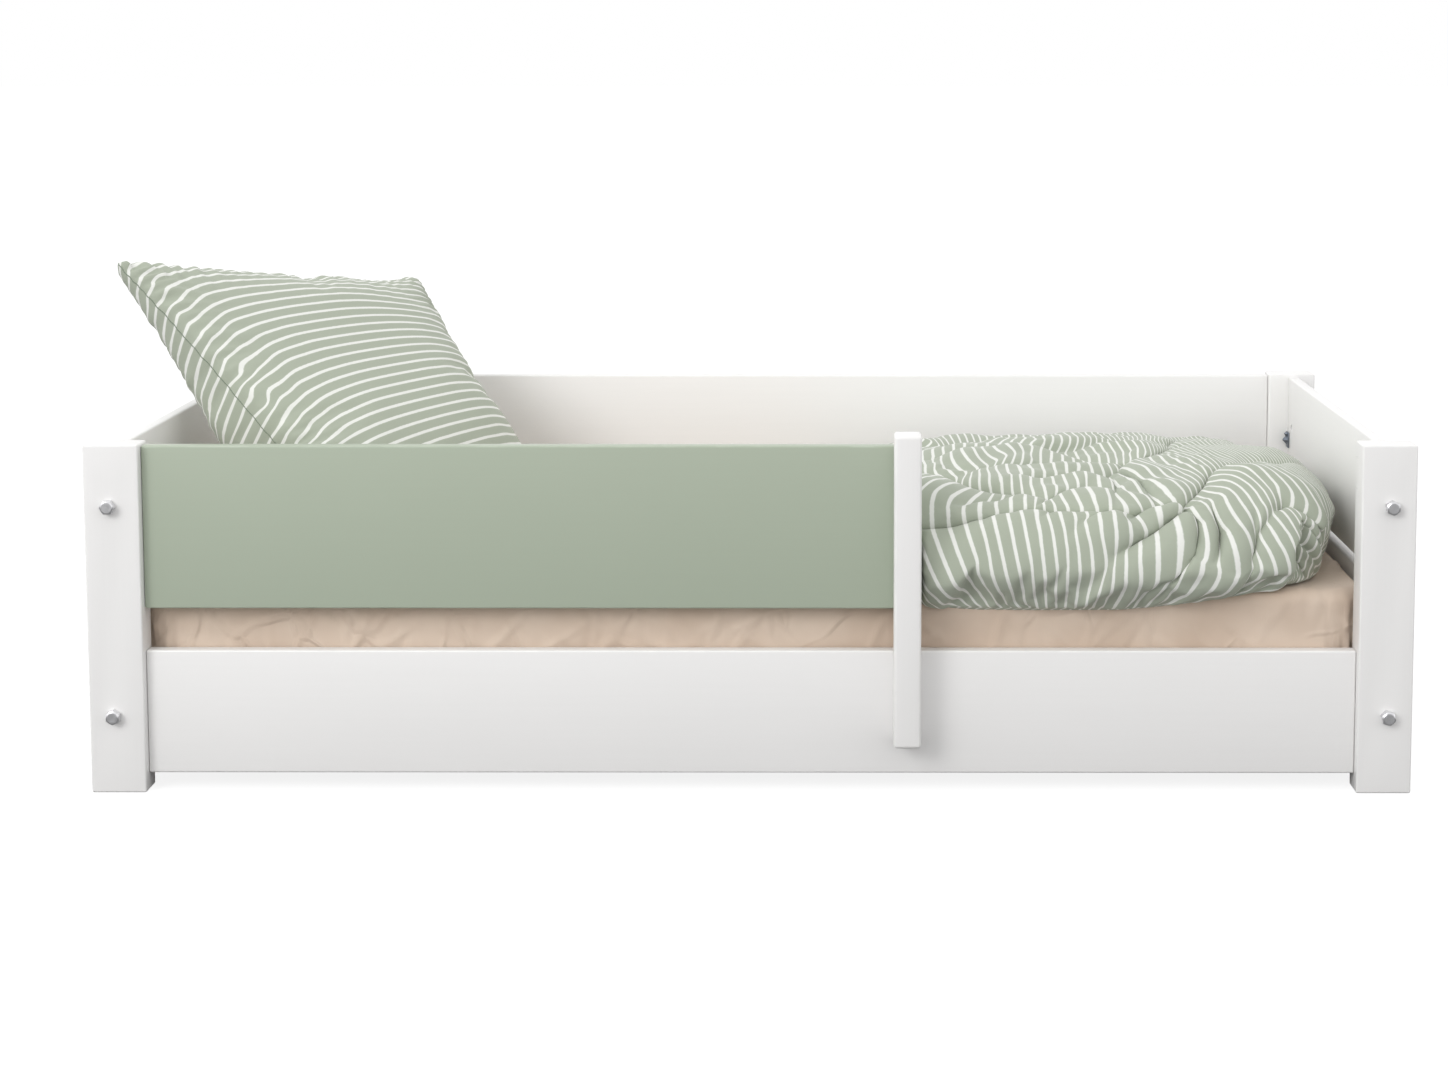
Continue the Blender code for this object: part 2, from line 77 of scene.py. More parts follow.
def bakeModifiers(obj):        # what the modifiers make becomes the object's own mesh
    bpy.context.view_layer.update()
    graph = bpy.context.evaluated_depsgraph_get()
    mesh = bpy.data.meshes.new_from_object(obj.evaluated_get(graph))
    obj.modifiers.clear()
    obj.data = mesh
    mesh.name = obj.name
    return obj


def sharpen(obj, degrees=35):
    obj.data.set_sharp_from_angle(angle=math.radians(degrees))


def smooth(obj, degrees=35):
    obj.data.shade_smooth()
    sharpen(obj, degrees)


def finishPiece(obj, body, replaced=()):
    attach(obj, body)
    if replaced:
        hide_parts(*replaced)
    return obj


def feed(tree, node, inputs):        # an input takes a value, or the socket that feeds it
    for key, value in inputs.items():
        if isinstance(value, bpy.types.NodeSocket):
            tree.links.new(value, node.inputs[key])
        else:
            node.inputs[key].default_value = value


def put(tree, kind, inputs=None, **settings):
    node = tree.nodes.new(kind)
    for key, value in settings.items():
        setattr(node, key, value)
    feed(tree, node, inputs or {})
    return node


def newGroup(name, kind, inputs, outputs):
    group = bpy.data.node_groups.new(name, kind)
    for label, socketType, value in inputs:
        socket = group.interface.new_socket(label, in_out="INPUT", socket_type=socketType)
        if value is not None:
            socket.default_value = value
    for label, socketType in outputs:
        group.interface.new_socket(label, in_out="OUTPUT", socket_type=socketType)
    return group, put(group, "NodeGroupInput").outputs, put(group, "NodeGroupOutput")


def nodeMath(tree, operation, first, second=0.0, third=0.0):
    return put(tree, "ShaderNodeMath", {0: first, 1: second, 2: third},
               operation=operation).outputs[0]


def asVector(tree, x=0.0, y=0.0, z=0.0):
    return put(tree, "ShaderNodeCombineXYZ", {0: x, 1: y, 2: z}).outputs[0]


def mixColour(tree, factor, first, second):
    return put(tree, "ShaderNodeMix", {0: factor, 6: first, 7: second},
               data_type="RGBA").outputs[2]


def scaled(tree, vector, scale):
    return put(tree, "ShaderNodeVectorMath", {0: vector, 1: scale},
               operation="MULTIPLY").outputs[0]


def noiseAt(tree, vector, scale, detail=2.0, roughness=0.5):
    return put(tree, "ShaderNodeTexNoise",
               {"Vector": vector, "Scale": scale, "Detail": detail,
                "Roughness": roughness}).outputs["Fac"]


def remap(tree, value, low, high, toLow=0.0, toHigh=1.0, kind="SMOOTHSTEP"):
    return put(tree, "ShaderNodeMapRange",
               {"Value": value, "From Min": low, "From Max": high,
                "To Min": toLow, "To Max": toHigh}, interpolation_type=kind).outputs[0]


floatSocket, colourSocket, vectorSocket = "NodeSocketFloat", "NodeSocketColor", "NodeSocketVector"


# shared surface effects, one node group each

def makePaintGroup():        # brushed paint on board: stipple, faint fibres, and softened edges carrying a painted highlight in patches
    group, given, out = newGroup(
        "paintedBoard", "ShaderNodeTree",
        [("Vector", vectorSocket, None), ("Fibres", vectorSocket, (1.0, 1.0, 1.0)),
         ("Colour", colourSocket, None), ("Edge highlight colour", colourSocket, None),
         ("Edge highlight amount", floatSocket, 0.5)],
        [("Colour", colourSocket), ("Roughness", floatSocket), ("Height", floatSocket)])
    clouds = noiseAt(group, given["Vector"], 3.2, 3.0)
    fibres = noiseAt(group, scaled(group, given["Vector"], given["Fibres"]), 1.0, 4.0, 0.6)
    stipple = noiseAt(group, given["Vector"], 620.0, 2.0)
    tone = nodeMath(group, "MULTIPLY_ADD", clouds, 0.035, 0.9825)
    tone = nodeMath(group, "MULTIPLY", tone, remap(group, fibres, 0.3, 0.7, 0.996, 1.003))
    shaded = scaled(group, given["Colour"], asVector(group, tone, tone, tone))
    edge = put(group, "ShaderNodeAttribute", attribute_name="edge").outputs["Fac"]
    # painted highlight: the rounded edges take the lighter edge colour, in patches
    patches = remap(group, noiseAt(group, given["Vector"], 28.0, 3.0), 0.38, 0.68)
    edgeHighlight = nodeMath(group, "MULTIPLY", nodeMath(group, "MULTIPLY", edge, patches), given["Edge highlight amount"])
    rough = nodeMath(group, "MULTIPLY_ADD", noiseAt(group, given["Vector"], 14.0, 3.0), 0.14, 0.33)
    stipple = nodeMath(group, "MULTIPLY", stipple, 0.5)
    height = nodeMath(group, "MULTIPLY_ADD", fibres, 0.25, stipple)
    feed(group, out, {"Colour": mixColour(group, edgeHighlight, shaded, given["Edge highlight colour"]),
                      "Roughness": rough, "Height": height})
    return group


def makeGrainGroup():        # planed softwood: long rings, fine fibres, each board its own tone
    group, given, out = newGroup(
        "planedPine", "ShaderNodeTree",
        [("Vector", vectorSocket, None), ("Fibres", vectorSocket, (1.0, 1.0, 1.0)),
         ("Light", colourSocket, None), ("Dark", colourSocket, None)],
        [("Colour", colourSocket), ("Roughness", floatSocket), ("Height", floatSocket)])
    seed = put(group, "ShaderNodeAttribute", attribute_name="boardSeed").outputs["Fac"]
    shift = asVector(group, nodeMath(group, "MULTIPLY", seed, 7.3), seed,
                     nodeMath(group, "MULTIPLY", seed, 3.1))
    moved = put(group, "ShaderNodeVectorMath", {0: given["Vector"], 1: shift}).outputs[0]
    stretched = scaled(group, moved, given["Fibres"])
    bend = noiseAt(group, stretched, 0.12, 2.0)
    rings = put(group, "ShaderNodeTexWave",
                {"Vector": stretched, "Scale": 0.32, "Distortion": 5.0, "Detail": 2.0,
                 "Detail Scale": 0.6, "Phase Offset": nodeMath(group, "MULTIPLY", bend, 9.0)},
                wave_type="BANDS", bands_direction="DIAGONAL").outputs["Fac"]
    fibres = noiseAt(group, stretched, 2.4, 4.0, 0.65)
    late = remap(group, rings, 0.45, 1.0, 0.0, 0.75)
    mixed = nodeMath(group, "ADD", nodeMath(group, "MULTIPLY", late, 0.7),
                  nodeMath(group, "MULTIPLY", fibres, 0.35))
    tone = nodeMath(group, "MULTIPLY_ADD", seed, 0.16, 0.9)
    coloured = mixColour(group, mixed, given["Light"], given["Dark"])
    feed(group, out, {"Colour": scaled(group, coloured, asVector(group, tone, tone, tone)),
                      "Roughness": nodeMath(group, "MULTIPLY_ADD", fibres, 0.2, 0.48),
                      "Height": mixed})
    return group


def makeMetalGroup():        # plated steel: cloudy plating, fine scratches, handling marks
    group, given, out = newGroup(
        "platedSteel", "ShaderNodeTree",
        [("Vector", vectorSocket, None), ("Colour", colourSocket, None),
         ("Tarnish", colourSocket, None), ("Roughness", floatSocket, 0.3)],
        [("Colour", colourSocket), ("Roughness", floatSocket), ("Height", floatSocket)])
    clouds = remap(group, noiseAt(group, given["Vector"], 240.0, 4.0), 0.42, 0.72)
    scratches = noiseAt(group, scaled(group, given["Vector"], (900.0, 900.0, 6000.0)), 1.0, 2.0)
    dull = nodeMath(group, "MULTIPLY", clouds, 0.45)
    feed(group, out, {"Colour": mixColour(group, dull, given["Colour"], given["Tarnish"]),
                      "Roughness": nodeMath(group, "MULTIPLY_ADD", clouds, 0.16,
                                         given["Roughness"]),
                      "Height": nodeMath(group, "MULTIPLY_ADD", scratches, 0.5, clouds)})
    return group


def makeWeaveGroup():        # plain weave with slubs, for cloth and webbing
    group, given, out = newGroup(
        "plainWeave", "ShaderNodeTree",
        [("Vector", vectorSocket, None), ("Thread", floatSocket, 0.0006)],
        [("Tone", floatSocket), ("Height", floatSocket)])
    perThread = nodeMath(group, "DIVIDE", math.pi, given["Thread"])
    split = put(group, "ShaderNodeSeparateXYZ", {0: given["Vector"]}).outputs
    across = nodeMath(group, "SINE", nodeMath(group, "MULTIPLY", split[0], perThread))
    along = nodeMath(group, "SINE", nodeMath(group, "MULTIPLY", split[1], perThread))
    over = nodeMath(group, "MULTIPLY", across, along)
    warp = noiseAt(group, scaled(group, given["Vector"], (700.0, 24.0, 24.0)), 1.0, 2.0)
    weft = noiseAt(group, scaled(group, given["Vector"], (24.0, 700.0, 24.0)), 1.0, 2.0)
    slubs = nodeMath(group, "ADD", warp, weft)
    feed(group, out, {"Tone": nodeMath(group, "MULTIPLY_ADD", slubs, 0.14, 0.86),
                      "Height": nodeMath(group, "MULTIPLY_ADD", over, 0.5, slubs)})
    return group


def makeStripeGroup():        # evenly spaced lines across the first axis of the cloth
    group, given, out = newGroup(
        "clothStripes", "ShaderNodeTree",
        [("Vector", vectorSocket, None), ("Pitch", floatSocket, 0.02),
         ("Line width", floatSocket, 0.0045), ("Softness", floatSocket, 0.0007)],
        [("Mask", floatSocket)])
    ragged = noiseAt(group, given["Vector"], 260.0, 2.0)
    ragged = nodeMath(group, "MULTIPLY_ADD", ragged, 0.001, -0.0005)
    place = put(group, "ShaderNodeSeparateXYZ", {0: given["Vector"]}).outputs[0]
    away = nodeMath(group, "PINGPONG", place, nodeMath(group, "DIVIDE", given["Pitch"], 2.0))
    away = nodeMath(group, "ADD", away, ragged)
    half = nodeMath(group, "DIVIDE", given["Line width"], 2.0)
    mask = remap(group, away, nodeMath(group, "SUBTRACT", half, given["Softness"]),
                 nodeMath(group, "ADD", half, given["Softness"]), 1.0, 0.0)
    feed(group, out, {"Mask": mask})
    return group


paintGroup = makePaintGroup()
grainGroup = makeGrainGroup()
metalGroup = makeMetalGroup()
weaveGroup = makeWeaveGroup()
stripeGroup = makeStripeGroup()
print("surface groups made")


# materials

def newMaterial(name, roughness=0.5, **constants):
    material = bpy.data.materials.new(name)
    material.use_nodes = True
    shader = material.node_tree.nodes["Principled BSDF"]
    shader.inputs["Roughness"].default_value = roughness
    for key, value in constants.items():
        shader.inputs[key.replace("_", " ")].default_value = value
    return material, material.node_tree, shader


def useGroup(tree, group, inputs):
    return put(tree, "ShaderNodeGroup", inputs, node_tree=group).outputs


def objectPlace(tree):
    return put(tree, "ShaderNodeTexCoord").outputs["Object"]


def addBump(tree, shader, height, strength, distance):
    bump = put(tree, "ShaderNodeBump",
               {"Height": height, "Strength": strength, "Distance": distance})
    tree.links.new(bump.outputs[0], shader.inputs["Normal"])


paintFinish = {
    # the lighter edge colours make a painted highlight on the rounded edges, and the two amounts
    # on the last line set its strength
    "white": srgb(238, 237, 236), "whiteHighlight": srgb(247, 246, 244),
    "sage": srgb(172, 182, 164), "sageHighlight": srgb(188, 197, 181),
    "acrossFibres": 260.0, "alongFibres": 5.0, "bump": 0.12, "bumpDepth": 0.00012,
    "highlightAmount": 0.6, "sageHighlightAmount": 0.55,
}


def makePaint(name, colour, highlightColour, axis, highlightAmount):
    # axis is the board's long direction, which the fibres under the paint follow
    material, tree, shader = newMaterial(name, Specular_IOR_Level=0.42)
    fibres = [paintFinish["acrossFibres"]] * 3
    fibres["XYZ".index(axis)] = paintFinish["alongFibres"]
    # the edge colour and its amount give a painted highlight on the rounded edges
    paint = useGroup(tree, paintGroup, {
        "Vector": objectPlace(tree), "Fibres": fibres, "Colour": colour,
        "Edge highlight colour": highlightColour, "Edge highlight amount": highlightAmount})
    feed(tree, shader, {"Base Color": paint["Colour"], "Roughness": paint["Roughness"]})
    addBump(tree, shader, paint["Height"], paintFinish["bump"], paintFinish["bumpDepth"])
    return material


whitePaint = {axis: makePaint("whitePaint" + axis, paintFinish["white"],
                              paintFinish["whiteHighlight"], axis, paintFinish["highlightAmount"])
              for axis in "XYZ"}
sagePaint = makePaint("sagePaint", paintFinish["sage"], paintFinish["sageHighlight"], "X",
                      paintFinish["sageHighlightAmount"])

pineFinish = {"light": srgb(226, 196, 152), "dark": srgb(186, 141, 92),
              "acrossFibres": 170.0, "alongFibres": 4.0, "bump": 0.3, "bumpDepth": 0.0003}


def makePine(name, axis):
    material, tree, shader = newMaterial(name)
    fibres = [pineFinish["acrossFibres"]] * 3
    fibres["XYZ".index(axis)] = pineFinish["alongFibres"]
    grain = useGroup(tree, grainGroup, {
        "Vector": objectPlace(tree), "Fibres": fibres,
        "Light": pineFinish["light"], "Dark": pineFinish["dark"]})
    feed(tree, shader, {"Base Color": grain["Colour"], "Roughness": grain["Roughness"]})
    addBump(tree, shader, grain["Height"], pineFinish["bump"], pineFinish["bumpDepth"])
    return material


pineAlongX = makePine("pineCleat", "X")
pineAlongY = makePine("pineSlat", "Y")


def makeSteel(name, colour, tarnish, roughness):
    material, tree, shader = newMaterial(name)
    metal = useGroup(tree, metalGroup, {"Vector": objectPlace(tree), "Colour": colour,
                                        "Tarnish": tarnish, "Roughness": roughness})
    shader.inputs["Metallic"].default_value = 1.0
    feed(tree, shader, {"Base Color": metal["Colour"], "Roughness": metal["Roughness"]})
    addBump(tree, shader, metal["Height"], 0.2, 0.00005)
    return material


zincSteel = makeSteel("zincSteel", srgb(226, 226, 228), srgb(196, 196, 199), 0.30)
darkSteel = makeSteel("darkSteel", srgb(134, 141, 152), srgb(96, 103, 115), 0.34)


def makeYarn(name, roughness, thread, dark, light, bump, bumpDepth):
    material, tree, shader = newMaterial(name, roughness)
    weave = useGroup(tree, weaveGroup, {"Vector": objectPlace(tree), "Thread": thread})
    feed(tree, shader, {"Base Color": mixColour(tree, weave["Tone"], dark, light)})
    addBump(tree, shader, weave["Height"], bump, bumpDepth)
    return material


sheetLook = {
    # the darkest colour here is painted shade for the crease lines
    "light": srgb(212, 194, 177), "deep": srgb(200, 180, 162), "shadedCrease": srgb(182, 161, 143),
    "thread": 0.0007, "creaseScale": 11.5, "creaseWander": 0.16, "creaseFade": 0.075,
    "creaseShade": 0.12, "bump": 0.55, "bumpDepth": 0.0035,
}


def makeSheetCloth():        # fitted cotton sheet with fine stray creases, darkened with painted shade
    look = sheetLook
    material, tree, shader = newMaterial("fittedSheet", 0.85, Sheen_Weight=0.15,
                                         Sheen_Roughness=0.5)
    place = objectPlace(tree)
    weave = useGroup(tree, weaveGroup, {"Vector": place, "Thread": look["thread"]})
    clouds = remap(tree, noiseAt(tree, place, 9.0, 3.0), 0.3, 0.7)
    tone = nodeMath(tree, "MULTIPLY", weave["Tone"], clouds)
    colour = mixColour(tree, tone, look["deep"], look["light"])
    # thin raised creases that wander over the cloth in patches, with painted shade along them
    wander = put(tree, "ShaderNodeTexNoise", {"Vector": place, "Scale": 6.0,
                                              "Detail": 2.0}).outputs["Color"]
    bent = put(tree, "ShaderNodeVectorMath",
               {0: wander, 1: [look["creaseWander"]] * 3, 2: place},
               operation="MULTIPLY_ADD").outputs[0]
    cells = put(tree, "ShaderNodeTexVoronoi", {"Vector": bent, "Scale": look["creaseScale"]},
                feature="DISTANCE_TO_EDGE").outputs["Distance"]
    patches = remap(tree, noiseAt(tree, place, 8.0, 2.0), 0.45, 0.66)
    lines = remap(tree, cells, 0.0, look["creaseFade"], 1.0, 0.0)
    shadedCrease = nodeMath(tree, "MULTIPLY", lines, patches)
    # painted shade: the crease lines are darkened towards the crease colour
    shade = nodeMath(tree, "MULTIPLY", shadedCrease, look["creaseShade"])
    feed(tree, shader, {"Base Color": mixColour(tree, shade, colour, look["shadedCrease"])})
    height = nodeMath(tree, "MULTIPLY_ADD", weave["Height"], 0.05, shadedCrease)
    addBump(tree, shader, height, look["bump"], look["bumpDepth"])
    return material


beddingLook = {
    "ground": srgb(167, 174, 158), "groundDeep": srgb(151, 158, 142),
    "line": srgb(229, 230, 225), "pitch": 0.0200, "lineWidth": 0.0052, "thread": 0.0006,
}


def makeBedding():        # striped cotton, read from the cloth's own flat layout
    material, tree, shader = newMaterial("bedding", 0.88, Sheen_Weight=0.2,
                                         Sheen_Roughness=0.45)
    layout = put(tree, "ShaderNodeUVMap", uv_map="cloth").outputs[0]
    weave = useGroup(tree, weaveGroup, {"Vector": layout, "Thread": beddingLook["thread"]})
    stripes = useGroup(tree, stripeGroup, {"Vector": layout, "Pitch": beddingLook["pitch"],
                                           "Line width": beddingLook["lineWidth"]})
    ground = mixColour(tree, weave["Tone"], beddingLook["groundDeep"], beddingLook["ground"])
    colour = mixColour(tree, stripes["Mask"], ground, beddingLook["line"])
    feed(tree, shader, {"Base Color": colour})
    height = nodeMath(tree, "MULTIPLY_ADD", stripes["Mask"], 0.4, weave["Height"])
    addBump(tree, shader, height, 0.25, 0.0003)
    return material


webbing = makeYarn("webbing", 0.9, 0.0016, srgb(150, 146, 138), srgb(225, 221, 212), 0.6, 0.0005)
sheetCloth = makeSheetCloth()
seamThread = makeYarn("seamThread", 0.8, 0.0004, srgb(104, 114, 100), srgb(132, 143, 127),
                      0.4, 0.0002)
bedding = makeBedding()
print("materials made")


# boards and posts

timber = {"rounding": 0.0026, "uprightRounding": 0.0045, "cleatRounding": 0.002, "segments": 4}


def roundedBlock(low, high, radius, segments):
    shape = bmesh.new()
    bmesh.ops.create_cube(shape, size=1.0)
    bmesh.ops.scale(shape, vec=high - low, verts=shape.verts)
    bmesh.ops.translate(shape, vec=(low + high) / 2, verts=shape.verts)
    made = bmesh.ops.bevel(shape, geom=shape.edges[:], offset=radius, segments=segments,
                           profile=0.5, affect="EDGES")
    rounded = set(made["faces"])
    edge = shape.verts.layers.float.new("edge")
    for vert in shape.verts:
        vert[edge] = 1.0 if all(face in rounded for face in vert.link_faces) else 0.0
    for face in shape.faces:
        face.smooth = face in rounded
    return shape


def drill(obj, start, direction, depth, radius, endRadius=None):
    shape = bmesh.new()
    bmesh.ops.create_cone(shape, cap_ends=True, segments=24, radius1=radius,
                          radius2=radius if endRadius is None else endRadius, depth=depth,
                          matrix=Matrix.Translation((0, 0, depth / 2)))
    cutter = addObject("drill", meshFrom(shape, "drill"))
    turn = Vector((0, 0, 1)).rotation_difference(Vector(direction)).to_matrix().to_4x4()
    cutter.data.transform(Matrix.Translation(start) @ turn)
    bore = obj.modifiers.new("bore", "BOOLEAN")
    bore.object = cutter
    return cutter


def makeTimber(name, material, radius, bores=()):
    low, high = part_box(name)
    obj = addObject("visual_" + name, meshFrom(
        roundedBlock(low, high, radius, timber["segments"]), name), material)
    cutters = [drill(obj, *bore) for bore in bores]
    if cutters:
        bakeModifiers(obj)
        for cutter in cutters:
            bpy.data.objects.remove(cutter)
    sharpen(obj)
    return finishPiece(obj, "bed_frame", [name])


def middleOf(name):
    low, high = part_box(name)
    return (low + high) / 2


fit = {"boltBore": 0.0034, "barrelBore": 0.0053, "screwSink": 0.0075, "screwBore": 0.0028,
       "pilotBore": 0.0016, "pilotDepth": 0.010, "pilotHeights": (0.389, 0.429),
       "pilotSetback": 0.038, "barrelLeft": 0.0008, "over": 0.002, "faceOver": 0.001}


def boltBores(end, row):        # a post's two through bores for the end bolts
    bores = []
    for level in ("upper", "lower"):
        low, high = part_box(f"end_bolt_{end}_{row}_{level}")
        middle = (low + high) / 2
        start = (middle.x, low.y - fit["over"], middle.z)
        bores.append((start, (0, 1, 0), high.y - low.y + 2 * fit["over"], fit["boltBore"]))
    return bores


def screwSinks(names, side):        # countersinks in a post's outer face
    sinks = []
    for name in names:
        low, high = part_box(name)
        middle = (low + high) / 2
        outer = high.x if side > 0 else low.x
        start = (outer + side * fit["faceOver"], middle.y, middle.z)
        sinks.append((start, (-side, 0, 0), fit["screwSink"] - fit["screwBore"],
                      fit["screwSink"], fit["screwBore"]))
    return sinks


def makePosts():
    screws = [name for name in nodes if name.startswith("side_screw_")]
    for side, tag, end in ((-1, "left", "head"), (1, "right", "foot")):
        for row in ("front", "back"):
            name = f"post_{row}_{tag}"
            here = [screw for screw in screws if screw.endswith(tag)
                    and abs(middleOf(screw).y - middleOf(name).y) < 0.1]
            bores = boltBores(end, row) + screwSinks(here, side)
            low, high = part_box(name)
            if name == "post_front_right":
                for height in fit["pilotHeights"]:
                    start = (low.x - fit["faceOver"], low.y + fit["pilotSetback"], height)
                    bores.append((start, (1, 0, 0), fit["pilotDepth"] + fit["faceOver"],
                                  fit["pilotBore"]))
            makeTimber(name, whitePaint["Z"], timber["rounding"], bores)


def makeEndBoards():
    for end, side in (("head", -1), ("foot", 1)):
        for level in ("lower", "upper"):
            name = f"{end}_board_{level}"
            low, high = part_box(name)
            inner = low.x if side > 0 else high.x
            bores = []
            for row in ("front", "back"):
                nut = middleOf(f"barrel_nut_{end}_{row}_{level}")
                bores.append(((inner - side * fit["over"], nut.y, nut.z), (side, 0, 0),
                              high.x - low.x + fit["over"] - fit["barrelLeft"],
                              fit["barrelBore"]))
            makeTimber(name, whitePaint["Y"], timber["rounding"], bores)


makePosts()
makeEndBoards()
for name in ("side_board_front", "back_board_lower", "back_board_upper"):
    makeTimber(name, whitePaint["X"], timber["rounding"])
makeTimber("safety_rail", sagePaint, timber["rounding"])
makeTimber("rail_upright", whitePaint["Z"], timber["uprightRounding"])
for name in ("slat_cleat_front", "slat_cleat_back"):
    makeTimber(name, pineAlongX, timber["cleatRounding"])
print("boards and posts made")


# fasteners, slats and straps by Geometry Nodes

def newTree(name, inputs):
    sockets = [("Geometry", "NodeSocketGeometry", None)]
    sockets += [(label, kind, None) for label, kind in inputs]
    sockets.append(("Finish", "NodeSocketMaterial", None))
    return newGroup(name, "GeometryNodeTree", sockets, [("Geometry", "NodeSocketGeometry")])


def moved(tree, geometry, translation, rotation=(0, 0, 0)):
    return put(tree, "GeometryNodeTransform", {
        "Geometry": geometry, "Translation": translation, "Rotation": rotation}).outputs[0]


def rod(tree, vertices, radius, depth):
    return put(tree, "GeometryNodeMeshCylinder", {
        "Vertices": vertices, "Radius": radius, "Depth": depth}).outputs["Mesh"]


def cone(tree, vertices, bottom, top, depth):
    return put(tree, "GeometryNodeMeshCone", {
        "Vertices": vertices, "Radius Bottom": bottom, "Radius Top": top,
        "Depth": depth}).outputs["Mesh"]


def joined(tree, *parts):
    node = put(tree, "GeometryNodeJoinGeometry")
    for part in reversed(parts):
        tree.links.new(part, node.inputs[0])
    return node.outputs[0]


def combined(tree, operation, first, *others):
    node = put(tree, "GeometryNodeMeshBoolean", operation=operation, solver="EXACT")
    if operation == "DIFFERENCE":
        tree.links.new(first, node.inputs["Mesh 1"])
        rest = others
    else:
        rest = (first, *others)
    for part in rest:
        tree.links.new(part, node.inputs["Mesh 2"])
    return node.outputs[0]


def endTree(tree, given, out, instance):
    # a copy stands at each point of the piece, turned as its "turn" attribute says
    turn = put(tree, "GeometryNodeInputNamedAttribute", {"Name": "turn"},
               data_type="FLOAT_VECTOR").outputs[0]
    spread = put(tree, "GeometryNodeInstanceOnPoints", {
        "Points": given["Geometry"], "Instance": instance,
        "Rotation": put(tree, "FunctionNodeEulerToRotation", {0: turn}).outputs[0]}).outputs[0]
    closeTree(tree, given, out, spread)


def closeTree(tree, given, out, geometry):
    real = put(tree, "GeometryNodeRealizeInstances", {0: geometry}).outputs[0]
    finished = put(tree, "GeometryNodeSetMaterial", {
        "Geometry": real, "Material": given["Finish"]}).outputs[0]
    tree.links.new(finished, out.inputs[0])


def growPiece(name, tree, values, points=((0, 0, 0),), turns=None, edges=()):
    mesh = bpy.data.meshes.new(name)
    mesh.from_pydata([tuple(point) for point in points], list(edges), [])
    turn = mesh.attributes.new("turn", "FLOAT_VECTOR", "POINT")
    for index, angles in enumerate(turns or [(0, 0, 0)] * len(points)):
        turn.data[index].vector = angles
    obj = addObject(name, mesh)
    grow = obj.modifiers.new("grow", "NODES")
    grow.node_group = tree
    for item in tree.interface.items_tree:
        if item.in_out == "INPUT" and item.name in values:
            grow[item.identifier] = values[item.name]
    bakeModifiers(obj)
    smooth(obj, 30)
    return obj


def hexBoltTree():
    tree, given, out = newTree("hexBolt", [
        ("Flats", floatSocket), ("Head height", floatSocket), ("Face radius", floatSocket),
        ("Shank radius", floatSocket), ("Shank length", floatSocket)])
    across = nodeMath(tree, "DIVIDE", given["Flats"], math.sqrt(3))
    height, shank = given["Head height"], given["Shank length"]
    half = nodeMath(tree, "MULTIPLY", height, 0.5)
    prism = moved(tree, rod(tree, 6, across, height), asVector(tree, z=half))
    # a cone that meets the head's face in a circle takes off the corners
    wide = nodeMath(tree, "ADD", given["Face radius"], nodeMath(tree, "MULTIPLY", height, 1.6))
    cap = cone(tree, 48, wide, given["Face radius"], height)
    head = combined(tree, "INTERSECT", prism, cap)
    rim = moved(tree, rod(tree, 32, nodeMath(tree, "MULTIPLY", given["Face radius"], 0.8), 0.0006),
                asVector(tree, z=height))
    lower = nodeMath(tree, "MULTIPLY", shank, -0.5)
    stem = moved(tree, rod(tree, 20, given["Shank radius"], shank), asVector(tree, z=lower))
    endTree(tree, given, out, joined(tree, head, rim, stem))
    return tree


def barrelNutTree():
    tree, given, out = newTree("barrelNut", [
        ("Radius", floatSocket), ("Length", floatSocket), ("Bore radius", floatSocket),
        ("Bore offset", floatSocket)])
    body = rod(tree, 32, given["Radius"], given["Length"])
    bore = moved(tree, rod(tree, 20, given["Bore radius"], 0.04),
                 asVector(tree, z=given["Bore offset"]), (math.pi / 2, 0, 0))
    slot = put(tree, "GeometryNodeMeshCube", {"Size": (0.0012, 0.02, 0.0024)}).outputs[0]
    slot = moved(tree, slot, asVector(tree, z=nodeMath(tree, "MULTIPLY", given["Length"], -0.5)))
    endTree(tree, given, out, combined(tree, "DIFFERENCE", body, bore, slot))
    return tree


def flatScrewTree():
    tree, given, out = newTree("flatScrew", [
        ("Head radius", floatSocket), ("Shank radius", floatSocket), ("Length", floatSocket)])
    sink = nodeMath(tree, "SUBTRACT", given["Head radius"], given["Shank radius"])
    head = moved(tree, cone(tree, 32, given["Shank radius"], given["Head radius"], sink),
                 asVector(tree, z=nodeMath(tree, "MULTIPLY", sink, -1.0)))
    bars = [put(tree, "GeometryNodeMeshCube", {"Size": size}).outputs[0]
            for size in ((0.0056, 0.0012, 0.004), (0.0012, 0.0056, 0.004))]
    head = combined(tree, "DIFFERENCE", head, *bars)
    tip = 0.006
    body = nodeMath(tree, "SUBTRACT", given["Length"], nodeMath(tree, "ADD", sink, tip))
    bottom = nodeMath(tree, "SUBTRACT", tip, given["Length"])
    shank = moved(tree, cone(tree, 16, given["Shank radius"], given["Shank radius"], body),
                  asVector(tree, z=bottom))
    point = moved(tree, cone(tree, 16, 0.0002, given["Shank radius"], tip),
                  asVector(tree, z=nodeMath(tree, "MULTIPLY", given["Length"], -1.0)))
    endTree(tree, given, out, joined(tree, head, shank, point))
    return tree


